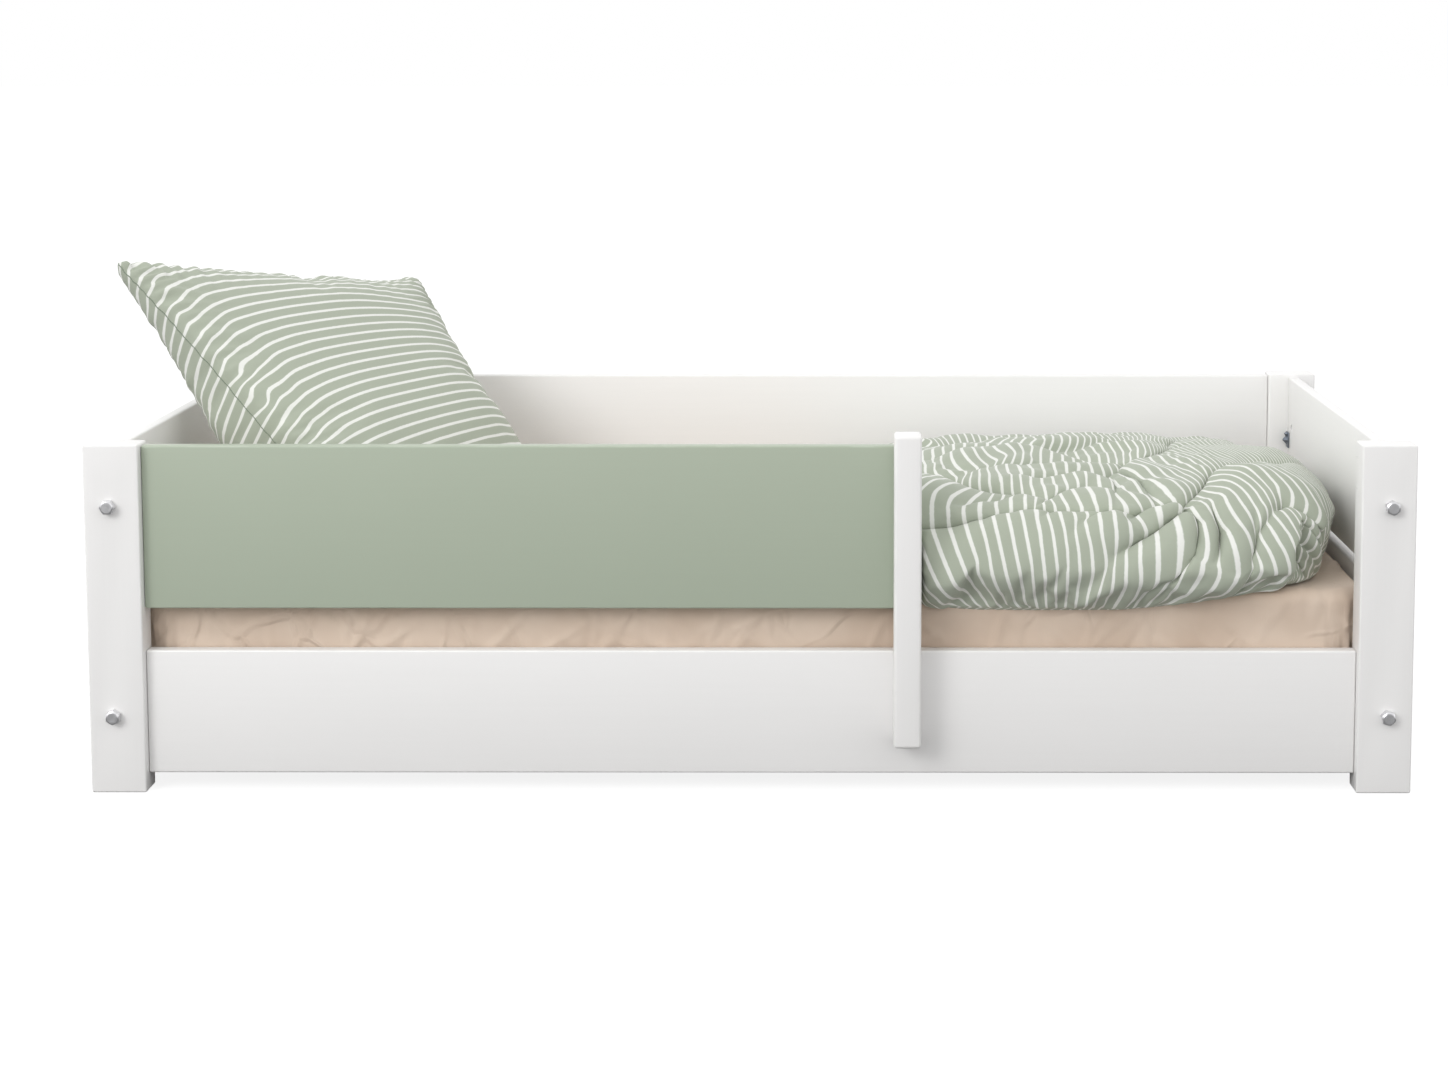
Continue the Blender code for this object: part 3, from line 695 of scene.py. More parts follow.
def buttonBoltTree():
    tree, given, out = newTree("buttonBolt", [
        ("Head radius", floatSocket), ("Head height", floatSocket),
        ("Shank radius", floatSocket), ("Shank length", floatSocket)])
    radius, height = given["Head radius"], given["Head height"]
    rings = [(1.0, 0.96, 0.0, 0.35), (0.96, 0.84, 0.35, 0.7), (0.84, 0.6, 0.7, 1.0)]
    layers = [moved(tree, cone(tree, 32, nodeMath(tree, "MULTIPLY", radius, low),
                               nodeMath(tree, "MULTIPLY", radius, high),
                               nodeMath(tree, "MULTIPLY", height, end - start)),
                    asVector(tree, z=nodeMath(tree, "MULTIPLY", height, start)))
              for low, high, start, end in rings]
    socket = moved(tree, rod(tree, 6, nodeMath(tree, "MULTIPLY", radius, 0.36), 0.003),
                   asVector(tree, z=height))
    head = combined(tree, "DIFFERENCE", combined(tree, "UNION", *layers), socket)
    stem = moved(tree, rod(tree, 20, given["Shank radius"], given["Shank length"]),
                 asVector(tree, z=nodeMath(tree, "MULTIPLY", given["Shank length"], -0.5)))
    endTree(tree, given, out, joined(tree, head, stem))
    return tree


def slatTree():
    tree, given, out = newTree("slatRow", [
        ("Count", "NodeSocketInt"), ("Pitch", floatSocket), ("Width", floatSocket),
        ("Thickness", floatSocket), ("Length", floatSocket), ("Rounding", floatSocket),
        ("First", vectorSocket)])
    outline = put(tree, "GeometryNodeCurvePrimitiveQuadrilateral", {
        "Width": given["Width"], "Height": given["Thickness"]}).outputs[0]
    outline = put(tree, "GeometryNodeFilletCurve", {
        "Curve": outline, "Radius": given["Rounding"], "Count": 4}, mode="POLY").outputs[0]
    half = nodeMath(tree, "MULTIPLY", given["Length"], 0.5)
    run = put(tree, "GeometryNodeCurvePrimitiveLine", {
        "Start": asVector(tree, y=nodeMath(tree, "MULTIPLY", half, -1.0)),
        "End": asVector(tree, y=half)}).outputs[0]
    slat = put(tree, "GeometryNodeCurveToMesh", {
        "Curve": run, "Profile Curve": outline, "Fill Caps": True}).outputs[0]
    row = put(tree, "GeometryNodeMeshLine", {
        "Count": given["Count"], "Start Location": given["First"],
        "Offset": asVector(tree, x=given["Pitch"])}).outputs[0]
    spread = put(tree, "GeometryNodeInstanceOnPoints", {"Points": row, "Instance": slat})
    shade = put(tree, "FunctionNodeRandomValue", {"Seed": 11}, data_type="FLOAT")
    marked = put(tree, "GeometryNodeStoreNamedAttribute", {
        "Geometry": spread.outputs[0], "Name": "boardSeed", "Value": shade.outputs[1]},
        domain="INSTANCE", data_type="FLOAT").outputs[0]
    closeTree(tree, given, out, marked)
    return tree


def stapleTree():
    tree, given, out = newTree("strapStaples", [
        ("Width", floatSocket), ("Leg", floatSocket), ("Wire", floatSocket)])
    bar = rod(tree, 8, given["Wire"], given["Width"])
    bar = moved(tree, bar, (0, 0, 0), (0, math.pi / 2, 0))
    legs = [moved(tree, rod(tree, 8, given["Wire"], given["Leg"]),
                  asVector(tree, x=nodeMath(tree, "MULTIPLY", given["Width"], share),
                           z=nodeMath(tree, "MULTIPLY", given["Leg"], 0.5)))
            for share in (-0.5, 0.5)]
    endTree(tree, given, out, joined(tree, bar, *legs))
    return tree


def makeEndBolts():
    names = sorted(name for name in nodes if name.startswith("end_bolt_"))
    bolt = {"Flats": 0.0165, "Head height": 0.011, "Face radius": 0.0066,
            "Shank radius": 0.003, "Shank length": 0.095, "Finish": zincSteel}
    points, turns = [], []
    wobble = random.Random(5)
    for name in names:
        low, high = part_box(name)
        middle = (low + high) / 2
        front = "_front_" in name
        y = low.y + bolt["Head height"] if front else high.y - bolt["Head height"]
        points.append((middle.x, y, middle.z))
        spin = wobble.uniform(-0.5, 0.5)
        turns.append((math.pi / 2 if front else -math.pi / 2, spin, 0))
    piece = growPiece("end_bolts", hexBoltTree(), bolt, points, turns)
    finishPiece(piece, "bed_frame", names)


def makeBarrelNuts():
    names = sorted(name for name in nodes if name.startswith("barrel_nut_"))
    nut = {"Radius": 0.005, "Length": 0.014, "Bore radius": 0.0033, "Bore offset": 0.001,
           "Finish": zincSteel}
    points = [middleOf(name) for name in names]
    turns = [(0, (1 if "_foot_" in name else -1) * math.pi / 2, 0) for name in names]
    piece = growPiece("barrel_nuts", barrelNutTree(), nut, points, turns)
    finishPiece(piece, "bed_frame", names)


def makeSideScrews():
    names = sorted(name for name in nodes if name.startswith("side_screw_"))
    screw = {"Head radius": 0.0055, "Shank radius": 0.0025, "Length": 0.12,
             "Finish": zincSteel}
    points, turns = [], []
    for name in names:
        low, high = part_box(name)
        side = 1 if name.endswith("right") else -1
        points.append((high.x if side > 0 else low.x, (low.y + high.y) / 2,
                       (low.z + high.z) / 2))
        turns.append((0, side * math.pi / 2, 0))
    piece = growPiece("side_screws", flatScrewTree(), screw, points, turns)
    finishPiece(piece, "bed_frame", names)


def makeUprightBolts():
    names = ["upright_bolt_rail", "upright_bolt_board"]
    bolt = {"Head radius": 0.007, "Head height": 0.003, "Shank radius": 0.003,
            "Shank length": 0.034, "Finish": zincSteel}
    points = []
    for name in names:
        low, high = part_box(name)
        points.append(((low.x + high.x) / 2, high.y - bolt["Head height"],
                       (low.z + high.z) / 2))
    turns = [(-math.pi / 2, 0, 0)] * len(points)
    piece = growPiece("upright_bolts", buttonBoltTree(), bolt, points, turns)
    finishPiece(piece, "bed_frame", names)


def makeSlats():
    names = sorted(name for name in nodes if name.startswith("slat_")
                   and name[5:].isdigit())
    low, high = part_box(names[0])
    size = high - low
    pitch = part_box(names[1])[0].x - low.x
    piece = growPiece("slats", slatTree(), {
        "Count": len(names), "Pitch": pitch, "Width": size.x, "Thickness": size.z,
        "Length": size.y, "Rounding": 0.003, "First": (low + high) / 2,
        "Finish": pineAlongY})
    finishPiece(piece, "bed_frame", names)
    return [middleOf(name) for name in names]


strapLook = {"rounding": 0.0005, "stapleApart": 0.04, "stapleDrop": 0.0004,
             "staple": {"Width": 0.010, "Leg": 0.006, "Wire": 0.0005, "Finish": zincSteel}}


def makeStraps(slats):
    for row in ("front", "back"):
        name = f"slat_strap_{row}"
        low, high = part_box(name)
        shape = roundedBlock(low, high, strapLook["rounding"], 2)
        strap = addObject("visual_" + name, meshFrom(shape, name), webbing)
        sharpen(strap)
        finishPiece(strap, "bed_frame", [name])
        points = [(slat.x + share * strapLook["stapleApart"], (low.y + high.y) / 2,
                   low.z - strapLook["stapleDrop"]) for slat in slats for share in (-0.5, 0.5)]
        staples = growPiece(f"strap_staples_{row}", stapleTree(), strapLook["staple"],
                            points, [(0, 0, math.pi / 2)] * len(points))
        finishPiece(staples, "bed_frame")


makeEndBolts()
makeBarrelNuts()
makeSideScrews()
makeUprightBolts()
makeStraps(makeSlats())
print("fasteners, slats and straps made")


# corner fittings

fitting = {"plate": 0.002, "wedgeRadius": 0.0085, "wedgeTip": 0.0010, "knobRadius": 0.0032,
           "knobProud": 0.001, "rounding": 0.0006}


def makeCornerFitting(tag, side):
    # a steel plate against the end board, with a four-sided wedge and a small knob above it
    name = f"corner_fitting_{tag}"
    low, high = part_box(name)
    middle = (low + high) / 2
    plateDepth = fitting["plate"]
    wall = high.x if side > 0 else low.x
    shape = bmesh.new()
    bmesh.ops.create_cube(shape, size=1.0)
    bmesh.ops.scale(shape, vec=(plateDepth, high.y - low.y, high.z - low.z), verts=shape.verts)
    bmesh.ops.translate(shape, vec=(wall - side * plateDepth / 2, middle.y, middle.z),
                        verts=shape.verts)
    reach = (high.x - low.x) - plateDepth
    turn = Matrix.Rotation(-side * math.pi / 2, 4, "Y")
    place = Matrix.Translation((wall - side * (plateDepth + reach / 2), middle.y, middle.z))
    bmesh.ops.create_cone(shape, cap_ends=True, segments=4, radius1=fitting["wedgeRadius"],
                          radius2=fitting["wedgeTip"], depth=reach, matrix=place @ turn)
    bmesh.ops.bevel(shape, geom=shape.edges[:], offset=fitting["rounding"], segments=2,
                    profile=0.5, affect="EDGES")
    knob = Matrix.Translation((wall - side * (plateDepth + fitting["knobProud"]), middle.y,
                               high.z - fitting["knobRadius"]))
    bmesh.ops.create_uvsphere(shape, u_segments=20, v_segments=12,
                              radius=fitting["knobRadius"], matrix=knob)
    obj = addObject("visual_" + name, meshFrom(shape, name), darkSteel)
    smooth(obj, 30)
    finishPiece(obj, "bed_frame", [name])


makeCornerFitting("left", -1)
makeCornerFitting("right", 1)
print("corner fittings made")


# cloth helpers

def clothPanels(width, length, columns, rows):
    # two flat panels that share their rim, with their flat layout in metres as a UV map
    shape = bmesh.new()
    layout = shape.loops.layers.uv.new("cloth")
    panel = shape.verts.layers.float.new("panel")
    for side in (1, -1):
        made = bmesh.ops.create_grid(shape, x_segments=columns, y_segments=rows, size=0.5)
        own = made["verts"]
        faces = {face for vert in own for face in vert.link_faces}
        if side < 0:
            bmesh.ops.reverse_faces(shape, faces=list(faces))
        for vert in own:
            vert.co = (vert.co.x * width, vert.co.y * length, 0)
            rim = abs(vert.co.x) > width / 2 - 1e-6 or abs(vert.co.y) > length / 2 - 1e-6
            vert[panel] = 0 if rim else side
        for face in faces:
            for loop in face.loops:
                loop[layout].uv = (loop.vert.co.x, loop.vert.co.y)
    rims = [vert for vert in shape.verts if vert[panel] == 0]
    bmesh.ops.remove_doubles(shape, verts=rims, dist=1e-5)
    return shape


def readValues(collection, key, size=1, kind=np.float32):
    flat = np.empty(len(collection) * size, kind)
    collection.foreach_get(key, flat)
    return flat.reshape(-1, size) if size > 1 else flat


def pointsOf(mesh):
    return readValues(mesh.vertices, "co", 3).astype(float)


def setPoints(mesh, points):
    mesh.vertices.foreach_set("co", points.astype(np.float32).ravel())
    mesh.update()


clothSettings = {"quality": 6, "mass": 0.25, "air_damping": 2.0, "use_pressure": True}


def simulateCloth(obj, frames, cap, values, pins=None):
    # runs Cloth, then keeps each point's travel, cut off at cap, as the plain mesh
    cloth = obj.modifiers.new("cloth", "CLOTH")
    settings = cloth.settings
    settings.effector_weights.gravity = 0
    cloth.collision_settings.use_collision = False
    for key, value in (clothSettings | values).items():
        setattr(settings, key, value)
    if pins is not None:
        group = obj.vertex_groups.new(name="pins")
        for index, weight in enumerate(pins):
            if weight > 0:
                group.add([index], float(weight), "REPLACE")
        settings.vertex_group_mass = "pins"
    cloth.point_cache.frame_start = 1
    cloth.point_cache.frame_end = frames
    start = pointsOf(obj.data)
    for current in range(1, frames + 1):
        scene.frame_set(current)
    graph = bpy.context.evaluated_depsgraph_get()
    end = pointsOf(obj.evaluated_get(graph).data)
    obj.modifiers.remove(cloth)
    travel = end - start
    length = np.linalg.norm(travel, axis=1, keepdims=True)
    travel *= np.minimum(1, cap / np.maximum(length, 1e-9))
    setPoints(obj.data, start + travel)
    obj.vertex_groups.clear()
    scene.frame_set(1)


def subdivide(obj, levels=1):
    finer = obj.modifiers.new("finer", "SUBSURF")
    finer.levels = finer.render_levels = levels
    finer.boundary_smooth = "PRESERVE_CORNERS"
    bakeModifiers(obj)
    obj.data.shade_smooth()


def strokeField(s, t, strokes):
    # creases and rolls drawn as polylines on the cloth: negative depth is a crease;
    # returns how far the cloth rises, and how it crowds in over the creases along s and t
    rise, crowdS, crowdT = np.zeros_like(s), np.zeros_like(s), np.zeros_like(s)
    for depth, width, path in strokes:
        nearest = np.full(s.shape, 1e9)
        place, towardS, towardT = np.zeros_like(s), np.zeros_like(s), np.zeros_like(s)
        count = len(path) - 1
        for index in range(count):
            (s0, t0), (s1, t1) = path[index], path[index + 1]
            ds, dt = s1 - s0, t1 - t0
            share = np.clip(((s - s0) * ds + (t - t0) * dt) / (ds * ds + dt * dt), 0, 1)
            offS, offT = s0 + share * ds - s, t0 + share * dt - t
            away = np.hypot(offS, offT)
            closer = away < nearest
            nearest = np.where(closer, away, nearest)
            place = np.where(closer, (index + share) / count, place)
            towardS = np.where(closer, offS, towardS)
            towardT = np.where(closer, offT, towardT)
        taper = np.sin(np.pi * np.clip(place, 0.03, 0.97)) ** 0.5
        if depth > 0:
            rise += depth * np.exp(-(nearest / width) ** 2) * taper
            continue
        rise += depth * np.exp(-nearest / width) * taper
        pull = -depth * np.exp(-nearest / (1.6 * width)) * taper / width
        crowdS += towardS * pull
        crowdT += towardT * pull
    return rise, crowdS, crowdT


def smoothNoise(points, scale, seed):
    shift = Vector((seed * 3.7, seed * 1.3, seed * 2.1))
    return np.array([noise.noise(Vector(point) * scale + shift) for point in points])


# mattress in its fitted sheet

mattressLook = {
    "cornerRadius": 0.060, "edgeRadius": 0.020,
    "alongStep": 0.0046, "acrossStep": 0.0075, "upStep": 0.0040,
    "creases": 150, "creaseHeight": 0.0026, "creaseLength": (0.03, 0.11),
    "creaseWidth": (0.0030, 0.0052), "creaseLean": 1.1, "creaseBend": 0.35, "topShare": 0.4,
    "gather": 0.0026, "gathers": 34, "gatherAlong": 0.11, "gatherAcross": 0.13,
    "gatherFade": 0.06, "lump": 0.0012, "inset": 0.0022, "fill": 0.9,
}


def boxGrid(counts):
    # one grid for each side of a box from -1 to 1, then the rims merged
    shape = bmesh.new()
    for axis in range(3):
        first, second = [other for other in range(3) if other != axis]
        for side in (-1, 1):
            made = bmesh.ops.create_grid(shape, x_segments=counts[first],
                                         y_segments=counts[second], size=0.5)
            for vert in made["verts"]:
                place = Vector((0, 0, 0))
                place[first] = vert.co.x * 2
                place[second] = vert.co.y * 2
                place[axis] = side
                vert.co = place
    bmesh.ops.remove_doubles(shape, verts=shape.verts, dist=1e-4)
    bmesh.ops.recalc_face_normals(shape, faces=shape.faces)
    return shape


def roundMattress(flat, half):
    corner, edge = mattressLook["cornerRadius"], mattressLook["edgeRadius"]
    # upright corners: squares of constant reach become rounds
    core = np.clip(flat[:, :2], -(half[:2] - corner), half[:2] - corner)
    out = flat[:, :2] - core
    reach = np.abs(out).max(axis=1)
    away = np.maximum(np.linalg.norm(out, axis=1), 1e-9)
    direction = out / away[:, None]
    # top and bottom edges in the same way, between reach and height
    over = np.maximum(reach - (corner - edge), 0)
    up = np.maximum(np.abs(flat[:, 2]) - (half[2] - edge), 0)
    both = np.maximum(over, up)
    span = np.maximum(np.hypot(over, up), 1e-9)
    reach = np.where(over > 0, corner - edge + over * both / span, reach)
    height = np.where(up > 0, half[2] - edge + up * both / span, np.abs(flat[:, 2]))
    body = np.column_stack([core + direction * reach[:, None], np.sign(flat[:, 2]) * height])
    return body, np.arctan2(out[:, 1], out[:, 0])


def sheetCreases(body, half):
    # stray creases where the cotton isn't quite taut, on the front side and the top
    look = mattressLook
    draw = random.Random(41)
    rise = np.zeros(len(body))
    for _ in range(look["creases"]):
        start = np.array([draw.uniform(-half[0], half[0]), -half[1], draw.uniform(-0.05, 0.055)])
        if draw.random() < look["topShare"]:
            start = np.array([draw.uniform(-half[0], half[0]),
                              draw.uniform(-half[1], half[1]), half[2]])
        lean = draw.uniform(-look["creaseLean"], look["creaseLean"])
        length = draw.uniform(*look["creaseLength"])
        bend = draw.uniform(-look["creaseBend"], look["creaseBend"])
        onTop = start[2] >= half[2] - 1e-6
        along = np.array([math.sin(lean), math.cos(lean) if onTop else 0,
                          0 if onTop else math.cos(lean)])
        side = np.array([along[2] + along[1], -along[0] if onTop else 0,
                         0 if onTop else -along[0]])
        offset = body - start
        forward = offset @ along
        sideways = offset @ side - bend * forward * forward / length
        depthAway = np.abs(offset[:, 2] if onTop else offset[:, 1])
        near = np.clip(1 - np.abs(forward) / length, 0, 1)
        near *= depthAway < look["edgeRadius"] * 1.2
        width = draw.uniform(*look["creaseWidth"])
        rise += near * np.exp(-(sideways / width) ** 2) * draw.choice((1, 1, -0.8))
    return rise * look["creaseHeight"]


def cornerGathers(flat, body, angle, half):
    # the sheet's elastic gathers it round the corners, most of all low down
    look = mattressLook
    inward = np.minimum(np.abs(flat[:, 0]) - (half[0] - look["gatherAlong"]),
                        np.abs(flat[:, 1]) - (half[1] - look["gatherAcross"]))
    share = np.clip(inward / look["gatherFade"] + 1, 0, 1)
    waves = np.sin(angle * look["gathers"] + 2.0 * np.sin(angle * 9)) * share
    waves *= np.clip(1 - (body[:, 2] + half[2]) / (2 * half[2]), 0.1, 1)
    return waves * look["gather"]


def makeMattress():
    look = mattressLook
    low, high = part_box("mattress")
    size, middle = high - low, (low + high) / 2
    half = np.array(size) / 2
    counts = [max(4, round(size[axis] / look[step])) for axis, step in
              enumerate(("alongStep", "acrossStep", "upStep"))]
    mesh = meshFrom(boxGrid(counts), "visual_mattress")
    flat = pointsOf(mesh) * half
    body, angle = roundMattress(flat, half)
    setPoints(mesh, body)
    normals = readValues(mesh.vertices, "normal", 3)
    lift = sheetCreases(body, half) + cornerGathers(flat, body, angle, half)
    lift += smoothNoise(body, 9.0, 3) * look["lump"]
    # the underside stays flat
    lift = np.where(body[:, 2] < -half[2] + 0.002, 0, lift)
    points = np.clip(body * (1 - look["inset"] / half) + normals * lift[:, None], -half, half)
    setPoints(mesh, points + np.array(middle))
    obj = addObject("visual_mattress", mesh, sheetCloth)
    mesh.shade_smooth()
    return finishPiece(obj, "mattress", ["mattress"])


makeMattress()
print("mattress made")


# pillow

pillowLook = {
    "width": 0.52, "length": 0.68, "step": 0.0085, "loft": 0.022, "quickLoft": 0.075,
    "topFront": (-0.889, 0.334, 0.655), "topBack": (-0.537, 0.724, 0.594),
    "lowFront": (-0.500, 0.120, 0.275), "lowBack": (-0.338, 0.550, 0.275),
    "frames": 34, "cap": 0.2, "straight": 0.64,
    "frontThickness": 0.088, "frontFullness": 0.55, "frontTop": 0.62, "frontLean": 0.33,
    "backThickness": 0.166, "backFullness": 0.34, "backTop": 0.18, "backLean": 0.35,
    "earPlace": 0.60, "earWidth": 0.26, "earDip": 0.065,
    "puckerReach": 0.046, "puckerHeight": 0.0120, "puckerPitch": 0.023, "drift": 0.020,
    "stripeScale": 0.88, "stripeDrop": 0.055, "stripeReach": 0.30, "backReach": 0.14,
    "clearance": 0.0015, "sink": 0.02, "fill": 0.75,
}
pillowCloth = {"uniform_pressure_force": 9.0, "tension_stiffness": 18,
               "compression_stiffness": 18, "shear_stiffness": 6, "bending_stiffness": 0.08}


def fullness(u, v, power=2.2):
    return np.sqrt(np.clip((1 - np.abs(u) ** power) * (1 - np.abs(v) ** power), 0, 1))


def shiftedNoise(flat, side, apart, scale, seed):        # its own noise for each panel
    return smoothNoise(flat + np.array((0, 0, apart)) * side[:, None], scale, seed)


def pillowThickness(made, a, b, side):
    # full round edges, and the filling sagged down the back and towards the wall side
    look = pillowLook
    thick = np.abs(made[:, 2]) / np.abs(made[:, 2]).max()
    sag = np.clip((b + 1) / 1.5, 0, 1)
    front = look["frontThickness"] * thick ** look["frontFullness"]
    front *= look["frontTop"] + (1 - look["frontTop"]) * sag ** 0.8
    back = look["backThickness"] * thick ** look["backFullness"]
    back *= look["backTop"] + (1 - look["backTop"]) * sag
    return np.where(side > 0, back * (1 - look["backLean"] * a),
                    front * (1 + look["frontLean"] * a))


def pillowPuckers(flat, u, v, side):
    # puckers where the seam gathers the cloth, and how they fade into each panel
    look = pillowLook
    sideAway, endAway = (1 - np.abs(u)) * look["width"], (1 - np.abs(v)) * look["length"]
    seamAway = np.minimum(sideAway, endAway) / 2
    run = np.where(sideAway < endAway, flat[:, 1], flat[:, 0])
    phase = run * 2 * math.pi / look["puckerPitch"]
    phase += shiftedNoise(flat, side, 0.3, 14.0, 6) * 7
    fade = np.exp(-seamAway / look["puckerReach"]) * np.clip(seamAway / 0.006, 0, 1)
    strength = 0.5 + shiftedNoise(flat, side, 0.2, 6.0, 9)
    return np.sin(phase) * fade * strength * look["puckerHeight"], fade


def placePillow(a, b, height):
    # stands the cushion on its four corners, measured from the front of the bed
    front = Vector((0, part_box("post_front_left")[0].y, 0))
    topFront, topBack, lowFront, lowBack = (
        Vector(pillowLook[key]) + front
        for key in ("topFront", "topBack", "lowFront", "lowBack"))
    middle = (topFront + topBack + lowFront + lowBack) / 4
    along = (topBack - topFront + lowBack - lowFront) / 4
    down = (lowFront - topFront + lowBack - topBack) / 4
    twist = (topFront - topBack - lowFront + lowBack) / 4
    out = along.cross(down).normalized()
    placed = (np.array(middle) + np.outer(a, along) + np.outer(b, down)
              + np.outer(a * b, twist) + np.outer(height, out))
    # the cloth that would sink into the mattress spreads flat on it instead
    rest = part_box("mattress")[1].z + pillowLook["clearance"]
    sink = pillowLook["sink"]
    sunk = np.maximum(rest - placed[:, 2], 0)
    placed[:, 2] = np.maximum(placed[:, 2], rest + sink * np.exp(-sunk / sink) - sink)
    placed[:, 2] = np.maximum(placed[:, 2], rest)
    return placed


def layPillowStripes(mesh, flat, u, side, fade):
    look = pillowLook
    layout = mesh.uv_layers["cloth"]
    swapped = readValues(layout.data, "uv", 2)[:, ::-1]
    corner = readValues(mesh.loops, "vertex_index", kind=np.int32)
    # the gathered cloth carries its stripes to and fro along the seam
    drift = shiftedNoise(flat, side, 0.1, 30.0, 12) * fade * look["drift"]
    # beside the leaning seam the stripes drop on the front, and drop on round the back
    drift += look["stripeDrop"] * np.where(
        side > 0, 2 - np.exp(-(1 + u) / look["backReach"]), np.exp(-(1 + u) / look["stripeReach"]))
    swapped = swapped + np.column_stack([drift[corner], np.zeros(len(corner))])
    swapped *= look["stripeScale"]
    layout.data.foreach_set("uv", swapped.ravel())


def makePillow():
    look = pillowLook
    shape = clothPanels(look["width"], look["length"], round(look["width"] / look["step"]),
                        round(look["length"] / look["step"]))
    mesh = meshFrom(shape, "visual_pillow")
    obj = addObject("visual_pillow", mesh, bedding)
    side = readValues(mesh.attributes["panel"].data, "value")
    flat = pointsOf(mesh)
    u, v = flat[:, 0] / (look["width"] / 2), flat[:, 1] / (look["length"] / 2)
    points = flat.copy()
    points[:, 2] = side * look["loft"] * fullness(u, v)
    points[:, 2] += smoothNoise(flat, 24.0, 2) * 0.002 * np.abs(side)
    setPoints(mesh, points)
    corners = [int(np.argmin(np.hypot(u - a, v - b))) for a, b in
               ((-1, 1), (1, 1), (-1, -1), (1, -1))]
    simulateCloth(obj, look["frames"], look["cap"], pillowCloth)
    made = pointsOf(mesh)
    made -= made[corners].mean(axis=0)
    spanX, spanY = np.abs(made[corners][:, :2]).mean(axis=0)
    print("pillow half thickness", round(float(np.abs(made[:, 2]).max()), 4),
          "spans", round(float(spanX), 4), round(float(spanY), 4))
    # between the drawn-in outline of the simulation and the square one it was cut to
    straight = look["straight"]
    a = made[:, 0] / spanX * (1 - straight) + u * straight
    b = -made[:, 1] / spanY * (1 - straight) - v * straight
    thick = pillowThickness(made, a, b, side)
    # beside the back corner the slack top edge dips, so that the corner stands up
    dip = look["earDip"] * np.exp(-((a - look["earPlace"]) / look["earWidth"]) ** 2)
    b = b + dip * np.clip((1 - b) / 2, 0, 1) ** 4
    pucker, fade = pillowPuckers(flat, u, v, side)
    setPoints(mesh, placePillow(a, b, side * (thick + pucker)))
    layPillowStripes(mesh, flat, u, side, fade)
    subdivide(obj)
    return finishPiece(obj, "pillow", ["pillow"])


def seamTree():
    # a stitched cord along a line of edges
    tree, given, out = newTree("stitchedSeam", [
        ("Spacing", floatSocket), ("Stitch length", floatSocket),
        ("Stitch radius", floatSocket), ("Cord radius", floatSocket)])
    line = put(tree, "GeometryNodeMeshToCurve", {0: given["Geometry"]}).outputs[0]
    ring = put(tree, "GeometryNodeCurvePrimitiveCircle", {
        "Radius": given["Cord radius"], "Resolution": 6}).outputs[0]
    cord = put(tree, "GeometryNodeCurveToMesh", {
        "Curve": line, "Profile Curve": ring}).outputs[0]
    even = put(tree, "GeometryNodeResampleCurve", {
        "Curve": line, "Length": given["Spacing"]}, mode="LENGTH").outputs[0]
    tangent = put(tree, "GeometryNodeInputTangent").outputs[0]
    turn = put(tree, "FunctionNodeAlignRotationToVector", {"Vector": tangent},
               axis="Z").outputs[0]
    stitch = rod(tree, 6, given["Stitch radius"], given["Stitch length"])
    stitches = put(tree, "GeometryNodeInstanceOnPoints", {
        "Points": even, "Instance": stitch, "Rotation": turn}).outputs[0]
    closeTree(tree, given, out, joined(tree, cord, stitches))
    return tree


seamStitch = {"Spacing": 0.0045, "Stitch length": 0.0030, "Stitch radius": 0.00085,
              "Cord radius": 0.00055, "Finish": seamThread}


def makeSeam(cushion, body):
    # the rim is where the two panels meet, so its panel value is still nought
    mesh = cushion.data
    rim = np.abs(readValues(mesh.attributes["panel"].data, "value")) < 0.01
    index = np.cumsum(rim) - 1
    edges = [tuple(int(index[vert]) for vert in edge.vertices) for edge in mesh.edges
             if rim[edge.vertices[0]] and rim[edge.vertices[1]]]
    points = [vert.co.copy() for vert, isRim in zip(mesh.vertices, rim) if isRim]
    seam = growPiece(body + "_seam", seamTree(), seamStitch, points, edges=edges)
    finishPiece(seam, body)


makeSeam(makePillow(), "pillow")
print("pillow made")


# duvet

duvetLook = {
    "left": 0.075, "right": 0.768, "near": -0.360, "far": 0.305, "height": 0.116,
    "edge": 0.40, "droop": 0.029, "droopEnd": 0.009, "tuck": 0.7, "squareness": 5.0,
    "columns": 160, "rows": 150, "frames": 26, "cap": 0.026, "growth": 0.18, "pinch": 0.60,
    "railBack": -0.3425, "railEnd": 0.2185, "stripeScale": 1.36, "stripeCrowd": 0.55,
    "lumps": ((7.0, 5, 0.016), (17.0, 8, 0.009), (38.0, 13, 0.003)),
    "clearance": 0.0012, "overEdge": 0.02, "fill": 0.35,
}
duvetCloth = {"uniform_pressure_force": 0.6, "tension_stiffness": 12,
              "compression_stiffness": 12, "shear_stiffness": 4, "bending_stiffness": 0.02,
              "shrink_min": -duvetLook["growth"], "shrink_max": -duvetLook["growth"]}


def heapHeight(x, y):
    # overall swell of the bunched duvet, highest towards the back and right of its middle
    across = np.clip((y - duvetLook["near"]) / (duvetLook["far"] - duvetLook["near"]), 0, 1)
    along = np.clip((x - duvetLook["left"]) / (duvetLook["right"] - duvetLook["left"]), 0, 1)
    return 0.75 + 0.25 * np.sin(np.pi * across ** 0.75) + 0.09 * np.sin(np.pi * along) \
        - 0.10 * along ** 4 - 0.26 * np.clip(1 - along / 0.5, 0, 1) ** 1.5


